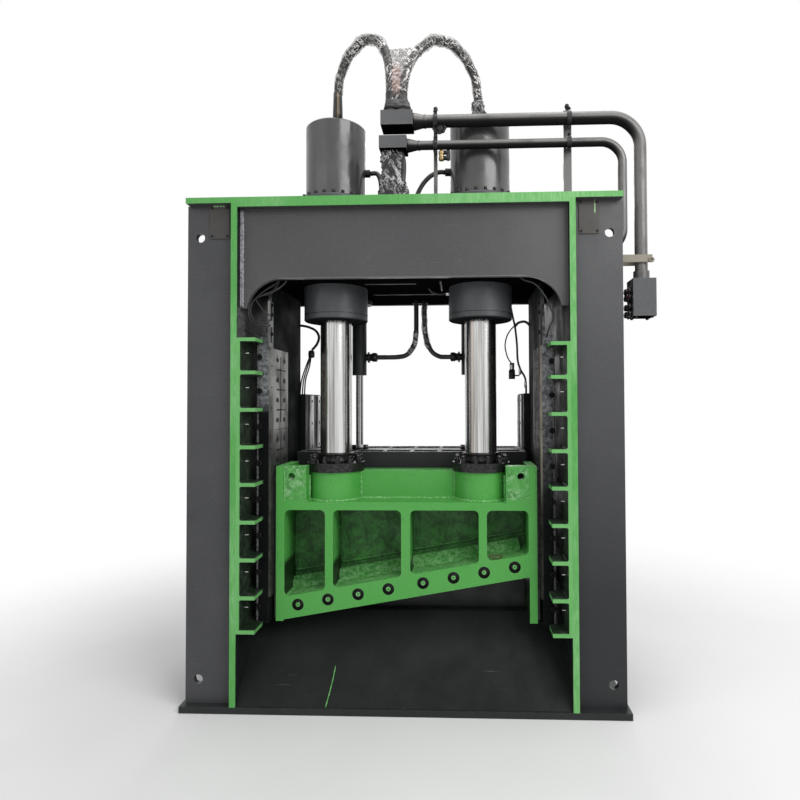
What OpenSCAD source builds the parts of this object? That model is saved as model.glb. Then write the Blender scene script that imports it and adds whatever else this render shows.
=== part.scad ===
// Gantry shear head: a portal frame that carries two vertical main cylinders,
// the knife slide that they drive, and the hold-down clamp behind it.
// X runs to the right seen from the discharge side, Y runs back into the
// machine and Z runs up from the underside of the base plate. Millimetres.

/* [Frame] */
// Width of the base plate
base_w = 3100; // [2900:10:3400]
// Thickness of the base plate
base_t = 45; // [30:1:70]
// Width of the top plate
top_w = 3040; // [2900:10:3300]
// Thickness of the top plate
top_t = 40; // [25:1:60]
// Thickness of the liner plate under the top plate, between the side plates
top_liner_t = 28; // [15:1:50]
// Height of the frame from the floor to the top plate's upper face
frame_h = 3580; // [3500:10:3900]
// Depth of the head from front to back
head_depth = 1500; // [1450:10:1700]
// Clear width between the two side plates
throat_w = 2310; // [2290:10:2400]
// Thickness of a side plate
side_t = 42; // [25:1:60]
// Width across the outer edges of the column flanges
flange_span_w = 3062; // [2950:2:3200]
// Thickness of a column flange plate
flange_t = 40; // [25:1:60]
// How far the flanges sit behind the front edges of the side plates
flange_setback_depth = 63; // [30:1:100]
// Diameter of a lifting hole in a flange
lifting_hole_d = 64; // [40:1:80]
// Height of the lower lifting holes
lower_hole_z = 206; // [150:2:400]
// Distance of the upper lifting holes below the top face
upper_hole_drop = 268; // [200:2:400]
// Distance of a lifting hole from the flange's outer edge
hole_edge_gap = 90; // [60:1:140]
// Thickness of a column stiffener
stiffener_t = 25; // [15:1:40]
// Distance of a cover plate's middle from the machine's middle
cover_x = 1300; // [1270:2:1450]
// Width of a cover plate on a flange
cover_w = 140; // [100:2:180]
// Height of a cover plate on a flange
cover_h = 236; // [180:2:300]
// Thickness of a cover plate
cover_t = 8; // [4:1:12]

/* [Crossbeam] */
// Height of the crossbeam from its soffit to the top liner
crossbeam_h = 497; // [420:1:600]
// Thickness of the crossbeam's front and rear plates
crossbeam_t = 40; // [25:1:60]
// Thickness of the crossbeam's floor plate
floor_t = 45; // [30:1:70]
// Depth of the crossbeam over its front and rear plates
crossbeam_depth = 1180; // [1120:10:1250]
// Radius of the rounded upper corners of the front opening
arch_r = 250; // [150:5:300]
// Width of the arch's straight leg beside the opening
arch_leg_w = 42; // [25:1:80]
// How far the arch's legs hang below the soffit
arch_drop = 207; // [100:1:245]
// Thickness of the ribs inside the crossbeam
crossbeam_rib_t = 30; // [20:1:40]

/* [Ladders and guides] */
// Thickness of the ladder's upright bar
bar_t = 24; // [15:1:40]
// Thickness of a ladder rib
rib_t = 25; // [15:1:40]
// Number of ribs in a ladder
rib_count = 9; // [6:1:12]
// Height of the lowest rib's middle
rib_bottom_z = 557; // [520:1:620]
// Height of the lowest bay
lowest_bay_h = 233; // [200:1:280]
// Height of the highest bay
highest_bay_h = 231; // [200:1:280]
// How far the left ladder's highest rib is below the crossbeam
left_top_drop = 434; // [400:1:500]
// How far the right ladder's highest rib is below the crossbeam
right_top_drop = 476; // [400:1:500]
// Fillet between a rib and the bar
rib_fillet_r = 14; // [6:1:25]
// Distance of a rib's free end from the side plate
rib_reach_w = 133; // [120:1:150]
// Distance of the guide wall's front edge from the front plane
guide_front_depth = 180; // [120:5:230]
// Thickness of the guide wall
guide_t = 25; // [20:1:28]
// Width of the stile along the guide wall's front edge
stile_w = 80; // [50:1:100]
// Depth of that stile
stile_depth = 80; // [50:1:120]
// Depth of the guide wall from front to back
guide_depth = 820; // [800:10:850]
// Clear width between the wear plates
wear_gap_w = 1940; // [1900:2:1960]
// Thickness of a wear plate
wear_t = 15; // [10:1:20]
// Height of the lowest wear plate's lower end
wear_low_z = 741; // [700:1:800]
// Depth of a wear plate from front to back
wear_depth = 410; // [400:10:500]
// How far the highest wear plate is below the crossbeam
wear_drop = 477; // [400:1:550]
// Height of the limit switch bar above the wear plates
switch_bar_h = 336; // [250:2:400]
// Depth of the limit switch bar from front to back
switch_bar_depth = 80; // [60:5:100]
// How far the limit switch bar stands in front of the guide wall
switch_bar_over_depth = 30; // [0:1:40]

/* [Main cylinders] */
// Distance of a main cylinder's axis from the middle
cylinder_x = 556; // [520:2:600]
// Depth of the cylinder axes behind the front plane
cylinder_depth = 470; // [440:2:500]
// Outer diameter of the barrel
barrel_d = 460; // [420:2:480]
// Bore of the barrel
barrel_bore_d = 360; // [330:2:380]
// Height of the barrel above the top plate
barrel_rise = 675; // [640:5:800]
// Thickness of the barrel's closed end
barrel_cap_t = 90; // [60:2:120]
// Diameter of the barrel's fixing flange
barrel_flange_d = 570; // [540:2:600]
// Thickness of the barrel's fixing flange
barrel_flange_t = 50; // [30:1:70]
// Number of bolts in the fixing flange
barrel_bolts = 16; // [12:1:20]
// Outer diameter of the gland under the crossbeam
gland_d = 482; // [470:1:520]
// Height of the gland under the crossbeam
gland_h = 255; // [180:1:270]
// Height of the gland's groove above its lower face
groove_z = 38; // [20:1:80]
// Diameter of the piston rod
rod_d = 240; // [200:2:260]
// Length of the piston
piston_h = 150; // [100:5:180]

/* [Knife slide] */
// Width over the slide's side plates
slide_w = 1900; // [1880:2:1930]
// Distance of the slide's front face from the front plane
slide_front_depth = 240; // [220:2:260]
// Depth of the slide from its front face to its knife face
slide_depth = 380; // [350:2:400]
// Depth of the windows in the slide's front
window_depth = 300; // [200:5:320]
// Thickness of the slide's side plates below the body
slide_leg_t = 55; // [40:1:70]
// Height of the lower end of the slide's side plates
slide_leg_z = 550; // [530:1:600]
// Width of the frame beside the outer windows
outer_rib_w = 61; // [56:1:80]
// Width of the rib between an outer and an inner window
mid_rib_w = 58; // [40:1:80]
// Width of the rib between the inner windows
centre_rib_w = 65; // [40:1:90]
// Width of an outer window
outer_window_w = 300; // [250:2:330]
// Height of the windows' upper edge
window_top_z = 1355; // [1300:1:1380]
// Corner radius of a window
window_r = 38; // [10:1:50]
// Height of the rail over the windows
upper_rail_h = 57; // [40:1:80]
// Height of the rail under the windows, measured straight up
lower_rail_h = 163; // [140:1:190]
// Angle of the knife edge to the level
knife_angle = 10.1; // [8:0.1:11]
// Height of the slide's lower edge at its middle
edge_mid_z = 720; // [700:1:740]
// Height of the box and bosses over the upper rail
boss_h = 210; // [180:1:240]
// Radius of a boss under a piston rod
boss_r = 200; // [190:1:225]
// Distance of the top box's front from the slide's front face
box_setback_depth = 200; // [150:5:220]
// Thickness of the top box's front plate
box_t = 60; // [40:1:80]
// Width of a lug
lug_w = 160; // [130:2:170]
// Height of a lug over the upper rail
lug_h = 262; // [240:1:280]
// Thickness of a lug
lug_t = 90; // [60:1:120]
// Diameter of the hole in a lug
lug_hole_d = 52; // [30:1:60]
// Distance of the lug's hole below its top
lug_hole_drop = 74; // [50:1:100]
// Diameter of the flange that holds a piston rod's foot
rod_flange_d = 432; // [400:2:450]
// Height of that flange
rod_flange_h = 65; // [50:1:80]
// Number of bolts in that flange
rod_flange_bolts = 12; // [8:1:16]

/* [Blades] */
// Thickness of a blade
blade_t = 60; // [40:1:80]
// Height of a blade
blade_h = 140; // [120:1:160]
// Length of a row of two blades
blade_row_w = 1760; // [1700:10:1780]
// Gap between the upper and the lower knife
blade_gap = 2; // [0.5:0.1:5]
// Height of the lower knife's cutting edge
lower_edge_z = 891; // [880:1:920]
// Diameter of a blade bolt
blade_bolt_d = 36; // [24:1:42]
// Spacing of the blade bolts
blade_bolt_pitch = 220.6; // [200:0.2:222]
// Distance of the first blade bolt from the middle
first_bolt_x = 126; // [80:1:130]
// Height of the blade bolts over the slide's lower edge
bolt_rise = 89; // [70:1:100]

/* [Bed and chute] */
// Clearance of the bed block beside the guide walls
bed_side_gap = 1; // [0.5:0.5:5]
// Thickness of the floor liner on the bed
liner_t = 40; // [25:1:60]
// Thickness of the chute plate
chute_t = 25; // [15:1:40]
// Depth of the chute from its foot to the bed
chute_run_depth = 495; // [400:5:495]
// Height of the rear side walls
rear_wall_top_z = 2215; // [2000:5:2300]
// Thickness of a rear side wall
rear_wall_t = 60; // [40:1:80]

/* [Hold-down clamp] */
// Clearance of the clamp beam beside the guides
clamp_side_gap = 45; // [40:1:80]
// Distance of the clamp beam's front from the knife face
clamp_front_gap = 80; // [60:2:110]
// Depth of the clamp beam
clamp_depth = 640; // [600:5:700]
// Height of the pads under the clamp beam
pad_h = 37; // [20:1:60]
// Number of ribs across the clamp beam
clamp_ribs = 8; // [6:1:9]
// Thickness of the clamp beam's ribs
clamp_rib_t = 30; // [20:1:40]
// Distance of a clamp cylinder's axis from the middle
clamp_x = 470; // [440:2:500]
// Depth of the clamp cylinders' axes behind the front plane
clamp_axis_depth = 1000; // [980:5:1030]
// Outer diameter of a clamp cylinder
clamp_barrel_d = 122; // [110:1:140]
// Bore of a clamp cylinder
clamp_bore_d = 95; // [80:1:100]
// Diameter of a clamp rod
clamp_rod_d = 63; // [50:1:70]
// How far a clamp cylinder hangs below the crossbeam
clamp_barrel_drop = 639; // [600:1:645]
// Clearance under the clamp cylinders at the top of the clamp's stroke
clamp_stroke_gap = 14; // [10:1:60]

/* [Pipework] */
// Outer diameter of the upper pipe
upper_pipe_d = 89; // [60:1:110]
// Height of the upper pipe's level run over the top plate
upper_pipe_rise = 595; // [560:5:640]
// Outer diameter of the lower pipe
lower_pipe_d = 64; // [40:1:76]
// Height of the lower pipe's level run over the top plate
lower_pipe_rise = 420; // [390:5:450]
// Depth of the pipe runs behind the front plane
pipe_depth = 185; // [170:1:190]
// Distance of the upper pipe's down run from the middle
upper_down_x = 1692; // [1680:2:1760]
// Distance of the lower pipe's down run from the middle
lower_down_x = 1566; // [1566:1:1575]
// Bend radius of the upper pipe, on its axis
upper_bend_r = 210; // [150:5:260]
// Bend radius of the lower pipe, on its axis
lower_bend_r = 150; // [100:5:200]
// Size of a junction block from front to back
junction_depth = 160; // [140:2:180]
// Width of the flange block at the foot of the upper pipe
foot_block_w = 160; // [140:2:180]
// Height of that flange block
foot_block_h = 265; // [220:5:300]
// How far that flange block's upper face is below the top face
foot_block_drop = 578; // [520:2:680]
// Outer diameter of a main pressure hose
hose_d = 62; // [40:1:64]
// Outer diameter of a drain hose
drain_hose_d = 34; // [20:1:40]
// Outer diameter of a clamp hose
clamp_hose_d = 36; // [20:1:40]

/* [Hidden] */
$fn = 64;

// Overrun of a cut past the face that it opens
cut_over = 2;
// Clearance of a static part in its hole, on the radius
seat_gap = 0.3;
// Running clearance of a rod or piston, on the radius
run_gap = 0.06;
// Clearance of the slide's liners from the wear plates
slide_gap = 0.5;

// The frame's main planes
front_y = -head_depth / 2;
throat_half = throat_w / 2;
side_outer = throat_half + side_t;
flange_half = flange_span_w / 2;
frame_top = frame_h - top_t;
beam_top = frame_top - top_liner_t;
soffit_z = beam_top - crossbeam_h;
crossbeam_front = flange_setback_depth;
crossbeam_back = crossbeam_front + crossbeam_depth;
rear_flange_front = head_depth - flange_setback_depth - flange_t;
lifting_x = flange_half - hole_edge_gap;
lifting_zs = [lower_hole_z, frame_h - upper_hole_drop];
stiffener_inset_w = 40;
stiffener_shares = [0.2, 0.4, 0.6, 0.8];

// The ladders and guides
end_bays = 2;
inner_bays = rib_count - 1 - end_bays;
ladder_end_h = rib_bottom_z + lowest_bay_h + highest_bay_h;
left_pitch = (soffit_z - left_top_drop - ladder_end_h) / inner_bays;
right_pitch = (soffit_z - right_top_drop - ladder_end_h) / inner_bays;
wear_rows = 3;
wear_gap_z = 3;
wear_top_z = soffit_z - wear_drop;
wear_h = (wear_top_z - wear_low_z + wear_gap_z) / wear_rows - wear_gap_z;
bar_inner = throat_half - bar_t;
rib_end = throat_half - rib_reach_w;
wear_half = wear_gap_w / 2;
guide_inner = wear_half + wear_t;
guide_back = guide_front_depth + guide_depth;
guide_low_z = rib_bottom_z;
stile_top_z = wear_top_z + stile_w;
wear_hole_d = 24;
wear_hole_shares = [0.11, 0.375, 0.64, 0.91];
wear_column_shares = [0.36, 0.76];
switch_slot_w = 26;
switch_slot_h = 96;
switch_slot_shares = [0.3, 0.72];

// The main cylinders
cylinder_y = front_y + cylinder_depth;
barrel_top = frame_h + barrel_rise;
barrel_chamfer = 12;
barrel_bolt_d = 30;
barrel_bolt_head = 26;
barrel_bolt_circle_share = 0.91;
groove_h = 10;
groove_depth = 6;
gland_lip_h = 8;
port_boss_d = 110;
port_boss_h = 34;
ferrule_d = 74;
ferrule_h = 130;
side_port_len = 36;
side_port_d = 58;
side_port_rise = 335;

// The knife slide
slide_half = slide_w / 2;
slide_back = slide_front_depth + slide_depth;
rail_top = window_top_z + upper_rail_h;
boss_top = rail_top + boss_h;
inner_window_x = centre_rib_w / 2;
outer_window_end = slide_half - outer_rib_w;
outer_window_x = outer_window_end - outer_window_w;
inner_window_end = outer_window_x - mid_rib_w;
lug_outer = slide_half - outer_rib_w;
lug_inner = lug_outer - lug_w;
ledge_top_depth = 90;
ledge_foot_depth = 170;
ledge_rise = 70;
liner_front_gap = 22;
lug_hole_share = 0.33;
liner_side_t = wear_half - slide_gap - slide_half;
window_arc_steps = 6;
straight_angle = 180;
blade_seat_gap = 0.3;
bolt_sink_d = 86;
bolt_sink_depth = 40;
bolt_nut_d = 80;
bolt_nut_h = 26;
bolt_tip_h = 20;
rod_foot_d = 300;
rod_foot_h = 30;
rod_flange_bolt_d = 30;
rod_flange_bolt_h = 52;
rod_flange_circle_share = 0.86;
bolt_head_ratio = 1.5;
knife_bolts = 4;

// The bed and the chute
bed_w = wear_gap_w + 2 * wear_t - 2 * bed_side_gap;
knife_back = slide_back + blade_gap;
bed_top = lower_edge_z - liner_t;
chute_foot_gap = 20;
bed_step_front = chute_foot_gap + chute_run_depth;
bed_apron_z = base_t + chute_run_depth;

// The hold-down clamp
clamp_w = wear_gap_w - 2 * clamp_side_gap;
clamp_barrel_z = soffit_z - clamp_barrel_drop;
clamp_front = slide_back + clamp_front_gap;
clamp_back = clamp_front + clamp_depth;
pad_gap = 2;
pad_bottom = lower_edge_z + pad_gap;
clamp_bottom = pad_bottom + pad_h;
clamp_height_share = 0.5615;
clamp_h = (clamp_barrel_z - clamp_bottom) * clamp_height_share;
clamp_top = clamp_bottom + clamp_h;
clamp_foot_h = 40;
clamp_stroke = clamp_barrel_z - clamp_stroke_gap - clamp_foot_h - clamp_top;
clamp_axis_y = front_y + clamp_axis_depth;
clamp_wall_t = 40;
clamp_web_w = 240;
clamp_pocket_share = 0.6;
clamp_gland_h = 70;
clamp_piston_h = 60;
clamp_flange_d = 220;
clamp_flange_t = 35;
clamp_cap_t = 30;
clamp_foot_d = 150;
clamp_bore_top = clamp_barrel_z + clamp_gland_h + clamp_piston_h + clamp_stroke + cut_over;
clamp_head_z = max(clamp_bore_top, soffit_z) + clamp_cap_t;
clamp_port_d = 60;
clamp_port_len = 95;
clamp_port_rise = 154;
pad_count = 7;
pad_w = 180;
rear_wall_gap = 15;
rear_wall_half = clamp_w / 2 + rear_wall_gap;

// The pipework
upper_pipe_z = frame_h + upper_pipe_rise;
lower_pipe_z = frame_h + lower_pipe_rise;
upper_block_w = 230;
upper_block_h = 105;
upper_block_x = -161;
lower_block_w = 197;
lower_block_h = 90;
lower_block_x = -172;
lower_run_rise = 50;
post_t = 28;
post_places = [228, 1188];
post_widths = [28, 58];
post_over_h = 40;
clamp_band_t = 8;
clamp_band_w = 30;
bracket_bar_t = 18;
bracket_bar_h = 52;
bracket_drop = 410;
bracket_top_z = frame_h - bracket_drop;
foot_block_top_z = frame_h - foot_block_drop;
bracket_in_w = 90;
bracket_out_w = 60;
block_bolt_d = 36;
block_bolt_h = 26;
block_bolt_share_z = [0.14, 0.31, 0.62, 0.8];
pipe_collar_d = 112;
pipe_collar_h = 60;
hose_fitting_h = 40;
supply_hose_d = 70;
supply_xs = [-122, -48];
bulkhead_t = 20;
bulkhead_margin_w = 25;

// Where each hose starts and ends
hose_offset_x = 11;
hose_rise = 500;
hose_end_h = 37.5;
left_hose_x = 66;
right_hose_x = 149;
pipe_y = front_y + pipe_depth;
upper_block_top = upper_pipe_z + upper_block_h / 2;
left_hose_ends = [
    [hose_offset_x - cylinder_x, cylinder_y, barrel_top + port_boss_h + ferrule_h],
    [upper_block_x + left_hose_x, pipe_y, upper_block_top + hose_end_h]
];
right_hose_ends = [
    [cylinder_x - hose_offset_x, cylinder_y, barrel_top + port_boss_h + ferrule_h],
    [upper_block_x + right_hose_x, pipe_y, upper_block_top + hose_end_h]
];
side_port_x = cylinder_x - barrel_d / 2 - side_port_len;
side_port_z = frame_h + side_port_rise;
left_drain_x = -195;
right_drain_x = 70;
drain_back_depth = 62;
left_drain_ends = [
    [-side_port_x, cylinder_y, side_port_z],
    [left_drain_x, cylinder_y - drain_back_depth, frame_h + hose_fitting_h]
];
right_drain_ends = [
    [side_port_x, cylinder_y, side_port_z],
    [right_drain_x, cylinder_y - drain_back_depth, frame_h + hose_fitting_h]
];
clamp_elbow_x = clamp_x - clamp_barrel_d / 2 - clamp_port_len;
clamp_port_z = clamp_barrel_z + clamp_port_rise;
clamp_inlet_h = 25;
left_inlet_x = 22;
right_inlet_x = 92;
left_clamp_ends = [
    [left_inlet_x, clamp_axis_y, soffit_z - clamp_inlet_h], [-clamp_elbow_x, clamp_axis_y, clamp_port_z]
];
right_clamp_ends = [
    [right_inlet_x, clamp_axis_y, soffit_z - clamp_inlet_h], [clamp_elbow_x, clamp_axis_y, clamp_port_z]
];

// Routes of the hoses: shares of the way across, of the way in depth, and of the rise over the line
// between the ends
left_hose_shares = [
    [0, 0, 0], [0, 0, 0.162], [0.011, 0.007, 0.345], [0.051, 0.028, 0.538], [0.127, 0.07, 0.731],
    [0.244, 0.147, 0.913], [0.384, 0.246, 1.056], [0.527, 0.344, 1.132], [0.664, 0.442, 1.147],
    [0.789, 0.54, 1.081], [0.878, 0.667, 0.952], [0.94, 0.779, 0.782], [0.978, 0.884, 0.593],
    [0.996, 0.954, 0.389], [1, 1, 0.19], [1, 1, 0]
];
right_hose_shares = [
    [0, 0, 0], [0, 0, 0.142], [0.016, 0.014, 0.327], [0.059, 0.042, 0.52], [0.138, 0.091, 0.715],
    [0.246, 0.168, 0.894], [0.375, 0.26, 1.022], [0.508, 0.358, 1.086], [0.63, 0.456, 1.08],
    [0.738, 0.554, 1.001], [0.831, 0.681, 0.87], [0.907, 0.786, 0.709], [0.961, 0.884, 0.538],
    [0.989, 0.954, 0.357], [1, 1, 0.17], [1, 1, 0]
];
left_drain_shares = [
    [0, 0, 0], [0.35, 0, 0.317], [0.62, 0.12, 0.516], [0.85, 0.4, 0.555], [0.97, 0.75, 0.42],
    [1, 1, 0.209], [1, 1, 0]
];
right_drain_shares = [
    [0, 0, 0], [0.2, 0, 0.182], [0.5, 0.18, 0.351], [0.76, 0.5, 0.379], [0.93, 0.82, 0.296],
    [1, 1, 0.179], [1, 1, 0]
];
left_clamp_shares = [
    [0, 0, 0], [0, 0, -0.28], [0.01, 0.01, -0.54], [0.08, 0.08, -0.69], [0.25, 0.25, -0.67],
    [0.48, 0.48, -0.49], [0.8, 0.8, -0.19], [1, 1, 0]
];
right_clamp_shares = [
    [0, 0, 0], [0, 0, -0.28], [0.03, 0.03, -0.5], [0.14, 0.14, -0.6], [0.33, 0.33, -0.56],
    [0.59, 0.59, -0.38], [0.82, 0.82, -0.171], [1, 1, 0]
];
tube_sides = 10;

// Colours
green = [0.31, 0.66, 0.29];
black = [0.12, 0.12, 0.13];
charcoal = [0.27, 0.27, 0.28];
steel = [0.62, 0.62, 0.62];
chrome = [0.85, 0.85, 0.86];
pipe_grey = [0.36, 0.37, 0.38];
brown = [0.25, 0.22, 0.18];
tan_paint = [0.62, 0.58, 0.48];
rubber = [0.07, 0.07, 0.07];
bolt_black = [0.09, 0.09, 0.09];

// A block given by its limits: X, depth behind the front plane, and Z
module block(x, d, z) {
    translate([x[0], front_y + d[0], z[0]])
        cube([x[1] - x[0], d[1] - d[0], z[1] - z[0]]);
}

// An outline in X and Z, given its depth and its thickness towards the back
module upright(d, t) {
    translate([0, front_y + d + t, 0])
        rotate([90, 0, 0])
            linear_extrude(t)
                children();
}

// An outline in depth and Z, given the X of its left face and its width
module crosswise(x, w) {
    translate([x, front_y, 0])
        rotate([90, 0, 90])
            linear_extrude(w)
                children();
}

// Turns a right-hand piece into the one for the given side, -1 or 1
module on_side(side) {
    mirror([side < 0 ? 1 : 0, 0, 0])
        children();
}

// A straight round bar along X
module bar_x(d, x, y, z) {
    translate([x[0], y, z])
        rotate([0, 90, 0])
            cylinder(d = d, h = x[1] - x[0]);
}

// A hexagon bolt head or nut that stands on the level z = 0
module hex_head(d, h) {
    cylinder(d = d * bolt_head_ratio, h = h, $fn = 6);
}

// A ring of pieces on a circle of the given diameter
module ring_of(count, circle_d) {
    for (i = [0 : count - 1])
        rotate(360 * (i + 0.5) / count)
            translate([circle_d / 2, 0, 0])
                children();
}

// Points of a closed outline with each corner rounded to radius r
function unit(v) = v / norm(v);
function corner(a, b, c, r) =
    let (u = unit(a - b), w = unit(c - b), half = acos(u * w) / 2, away = r / tan(half),
         mid = b + unit(u + w) * r / sin(half), from = b + u * away - mid, to = b + w * away - mid,
         turn = straight_angle - 2 * half, sense = sign(from[0] * to[1] - from[1] * to[0]))
    [for (i = [0 : window_arc_steps])
        let (t = sense * turn * i / window_arc_steps)
        mid + [from[0] * cos(t) - from[1] * sin(t), from[0] * sin(t) + from[1] * cos(t)]];
function rounded(points, r) =
    let (n = len(points))
    [for (i = [0 : n - 1]) each corner(points[(i + n - 1) % n], points[i], points[(i + 1) % n], r)];

// Points of a route between two ends, from its table of shares
function route_of(ends, rise, shares) =
    let (a = ends[0], b = ends[1])
    [for (s = shares)
        [a[0] + (b[0] - a[0]) * s[0], a[1] + (b[1] - a[1]) * s[1],
         a[2] + (b[2] - a[2]) * s[0] + rise * s[2]]];

// Points of rings along a route, and the closed tube through them
function axial(v) = abs(v[2]) > abs(v[0]) ? [0, 0, sign(v[2])] : [sign(v[0]), 0, 0];
function heading(route, i) =
    let (way = route[min(i + 1, len(route) - 1)] - route[max(i - 1, 0)])
    i == 0 || i == len(route) - 1 ? axial(way) : unit(way);
function ring(centre, way, r) =
    let (flat = abs(way[1]) > 0.9 ? [1, 0, 0] : [0, 1, 0], u = unit(cross(way, flat)), w = cross(way, u))
    [for (k = [0 : tube_sides - 1])
        centre + r * (u * cos(360 * k / tube_sides) + w * sin(360 * k / tube_sides))];
module tube_along(route, d) {
    rings = len(route);
    points = [for (i = [0 : rings - 1]) each ring(route[i], heading(route, i), d / 2)];
    sides = [
        for (i = [0 : rings - 2], k = [0 : tube_sides - 1])
            let (a = i * tube_sides + k, b = i * tube_sides + (k + 1) % tube_sides)
            each [[a, b + tube_sides, b], [a, a + tube_sides, b + tube_sides]]
    ];
    first_end = [[for (k = [0 : tube_sides - 1]) k]];
    last_end = [[for (k = [tube_sides - 1 : -1 : 0]) (rings - 1) * tube_sides + k]];
    polyhedron(points = points, faces = concat(sides, first_end, last_end), convexity = 6);
}

// Frame plates

module base_plate() {
    color(black)
        block([-base_w / 2, base_w / 2], [0, head_depth], [0, base_t]);
}

module side_plate(side) {
    color(black)
        on_side(side)
            block([throat_half, side_outer], [0, head_depth], [base_t, frame_top]);
}

module flange(side, d, holes) {
    color(charcoal)
        on_side(side)
            upright(d, flange_t)
                difference() {
                    translate([side_outer, base_t])
                        square([flange_half - side_outer, frame_top - base_t]);
                    if (holes)
                        for (z = lifting_zs)
                            translate([lifting_x, z])
                                circle(d = lifting_hole_d);
                }
}

module column_stiffeners(side) {
    color(black)
        on_side(side)
            for (share = stiffener_shares)
                block([side_outer, flange_half - stiffener_inset_w],
                      [flange_setback_depth + flange_t, rear_flange_front],
                      [frame_top * share, frame_top * share + stiffener_t]);
}

module top_plate() {
    color(green)
        difference() {
            union() {
                block([-top_w / 2, top_w / 2], [0, head_depth], [frame_top, frame_h]);
                block([-throat_half, throat_half], [0, head_depth], [beam_top, frame_top]);
            }
            for (side = [-1, 1])
                translate([side * cylinder_x, cylinder_y, beam_top - cut_over])
                    cylinder(d = barrel_d + 2 * seat_gap, h = frame_h - beam_top + 2 * cut_over);
        }
}

module cover_plates() {
    color(brown)
        for (side = [-1, 1])
            on_side(side)
                block([cover_x - cover_w / 2, cover_x + cover_w / 2],
                      [flange_setback_depth - cover_t, flange_setback_depth],
                      [frame_top - cover_h, frame_top]);
}

// Crossbeam

module arch_opening() {
    half = throat_half - arch_leg_w;
    low = soffit_z - arch_drop - cut_over;
    translate([-half, low])
        square([2 * half, soffit_z - arch_r - low]);
    translate([-half + arch_r, low])
        square([2 * (half - arch_r), soffit_z - low]);
    for (side = [-1, 1])
        translate([side * (half - arch_r), soffit_z - arch_r])
            circle(r = arch_r);
}

module crossbeam_front_plate() {
    color(charcoal)
        upright(crossbeam_front, crossbeam_t)
            difference() {
                translate([-throat_half, soffit_z - arch_drop])
                    square([throat_w, beam_top - soffit_z + arch_drop]);
                arch_opening();
            }
}

module crossbeam_rear_plate() {
    color(black)
        block([-throat_half, throat_half], [crossbeam_back - crossbeam_t, crossbeam_back],
              [soffit_z, beam_top]);
}

module crossbeam_floor_plate() {
    color(black)
        difference() {
            block([-throat_half, throat_half],
                [crossbeam_front + crossbeam_t, crossbeam_back - crossbeam_t],
                  [soffit_z, soffit_z + floor_t]);
            for (side = [-1, 1]) {
                translate([side * cylinder_x, cylinder_y, soffit_z - cut_over])
                    cylinder(d = barrel_d + 2 * seat_gap, h = floor_t + 2 * cut_over);
                translate([side * clamp_x, clamp_axis_y, soffit_z - cut_over])
                    cylinder(d = clamp_barrel_d + 2 * seat_gap, h = floor_t + 2 * cut_over);
            }
        }
}

module crossbeam_ribs() {
    inner = cylinder_x - barrel_d / 2;
    outer = cylinder_x + barrel_d / 2;
    places = [-(outer + throat_half) / 2, -inner / 2, inner / 2, (outer + throat_half) / 2];
    color(black)
        for (x = places)
            block([x - crossbeam_rib_t / 2, x + crossbeam_rib_t / 2],
                  [crossbeam_front + crossbeam_t, crossbeam_back - crossbeam_t],
                  [soffit_z + floor_t, beam_top]);
}

// Ladders, guide walls and wear plates

function rib_z(i, pitch) =
    i == 0 ? rib_bottom_z
    : i == rib_count - 1 ? rib_z(i - 1, pitch) + highest_bay_h
    : rib_bottom_z + lowest_bay_h + (i - 1) * pitch;

module rib_fillets(z) {
    for (up = [-1, 1])
        translate([bar_inner - rib_fillet_r, z + up * (rib_t / 2 + rib_fillet_r)])
            difference() {
                translate([0, up > 0 ? -rib_fillet_r : 0])
                    square(rib_fillet_r);
                circle(r = rib_fillet_r);
            }
}

module ladder(side, pitch) {
    top = rib_z(rib_count - 1, pitch) + rib_t / 2;
    low = rib_bottom_z - rib_t / 2;
    color(green)
        on_side(side) {
            upright(0, guide_front_depth) {
                translate([bar_inner, low])
                    square([bar_t, top - low]);
                for (i = [0 : rib_count - 1]) {
                    translate([rib_end, rib_z(i, pitch) - rib_t / 2])
                        square([bar_inner - rib_end, rib_t]);
                    if (i > 0 && i < rib_count - 1)
                        rib_fillets(rib_z(i, pitch));
                }
            }
            block([bar_inner, throat_half], [guide_front_depth, guide_back], [low, top]);
            for (i = [0 : rib_count - 1])
                block([guide_inner + stile_w, bar_inner], [guide_front_depth, guide_back],
                      [rib_z(i, pitch) - rib_t / 2, rib_z(i, pitch) + rib_t / 2]);
        }
}

module guide_wall(side) {
    wall = [
        [guide_front_depth, guide_low_z], [guide_front_depth, stile_top_z],
        [guide_front_depth + stile_depth, soffit_z],
        [guide_back, soffit_z], [guide_back, base_t], [knife_back + blade_t, base_t],
        [knife_back + blade_t, guide_low_z]
    ];
    color(black)
        on_side(side) {
            crosswise(guide_inner, guide_t)
                polygon(wall);
            block([guide_inner + guide_t, guide_inner + stile_w],
                [guide_front_depth, guide_front_depth + stile_depth],
                  [guide_low_z, stile_top_z]);
        }
}

module wear_plates(side) {
    front = guide_front_depth;
    color(steel)
        on_side(side)
            for (row = [0 : wear_rows - 1]) {
                low = wear_top_z - (row + 1) * wear_h - row * wear_gap_z;
                difference() {
                    block([wear_half, guide_inner], [front, front + wear_depth], [low, low + wear_h]);
                    for (column = wear_column_shares, share = wear_hole_shares)
                        bar_x(wear_hole_d, [wear_half - cut_over, guide_inner - wear_t / 2],
                              front_y + front + wear_depth * column, low + wear_h * share);
                }
            }
}

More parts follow.
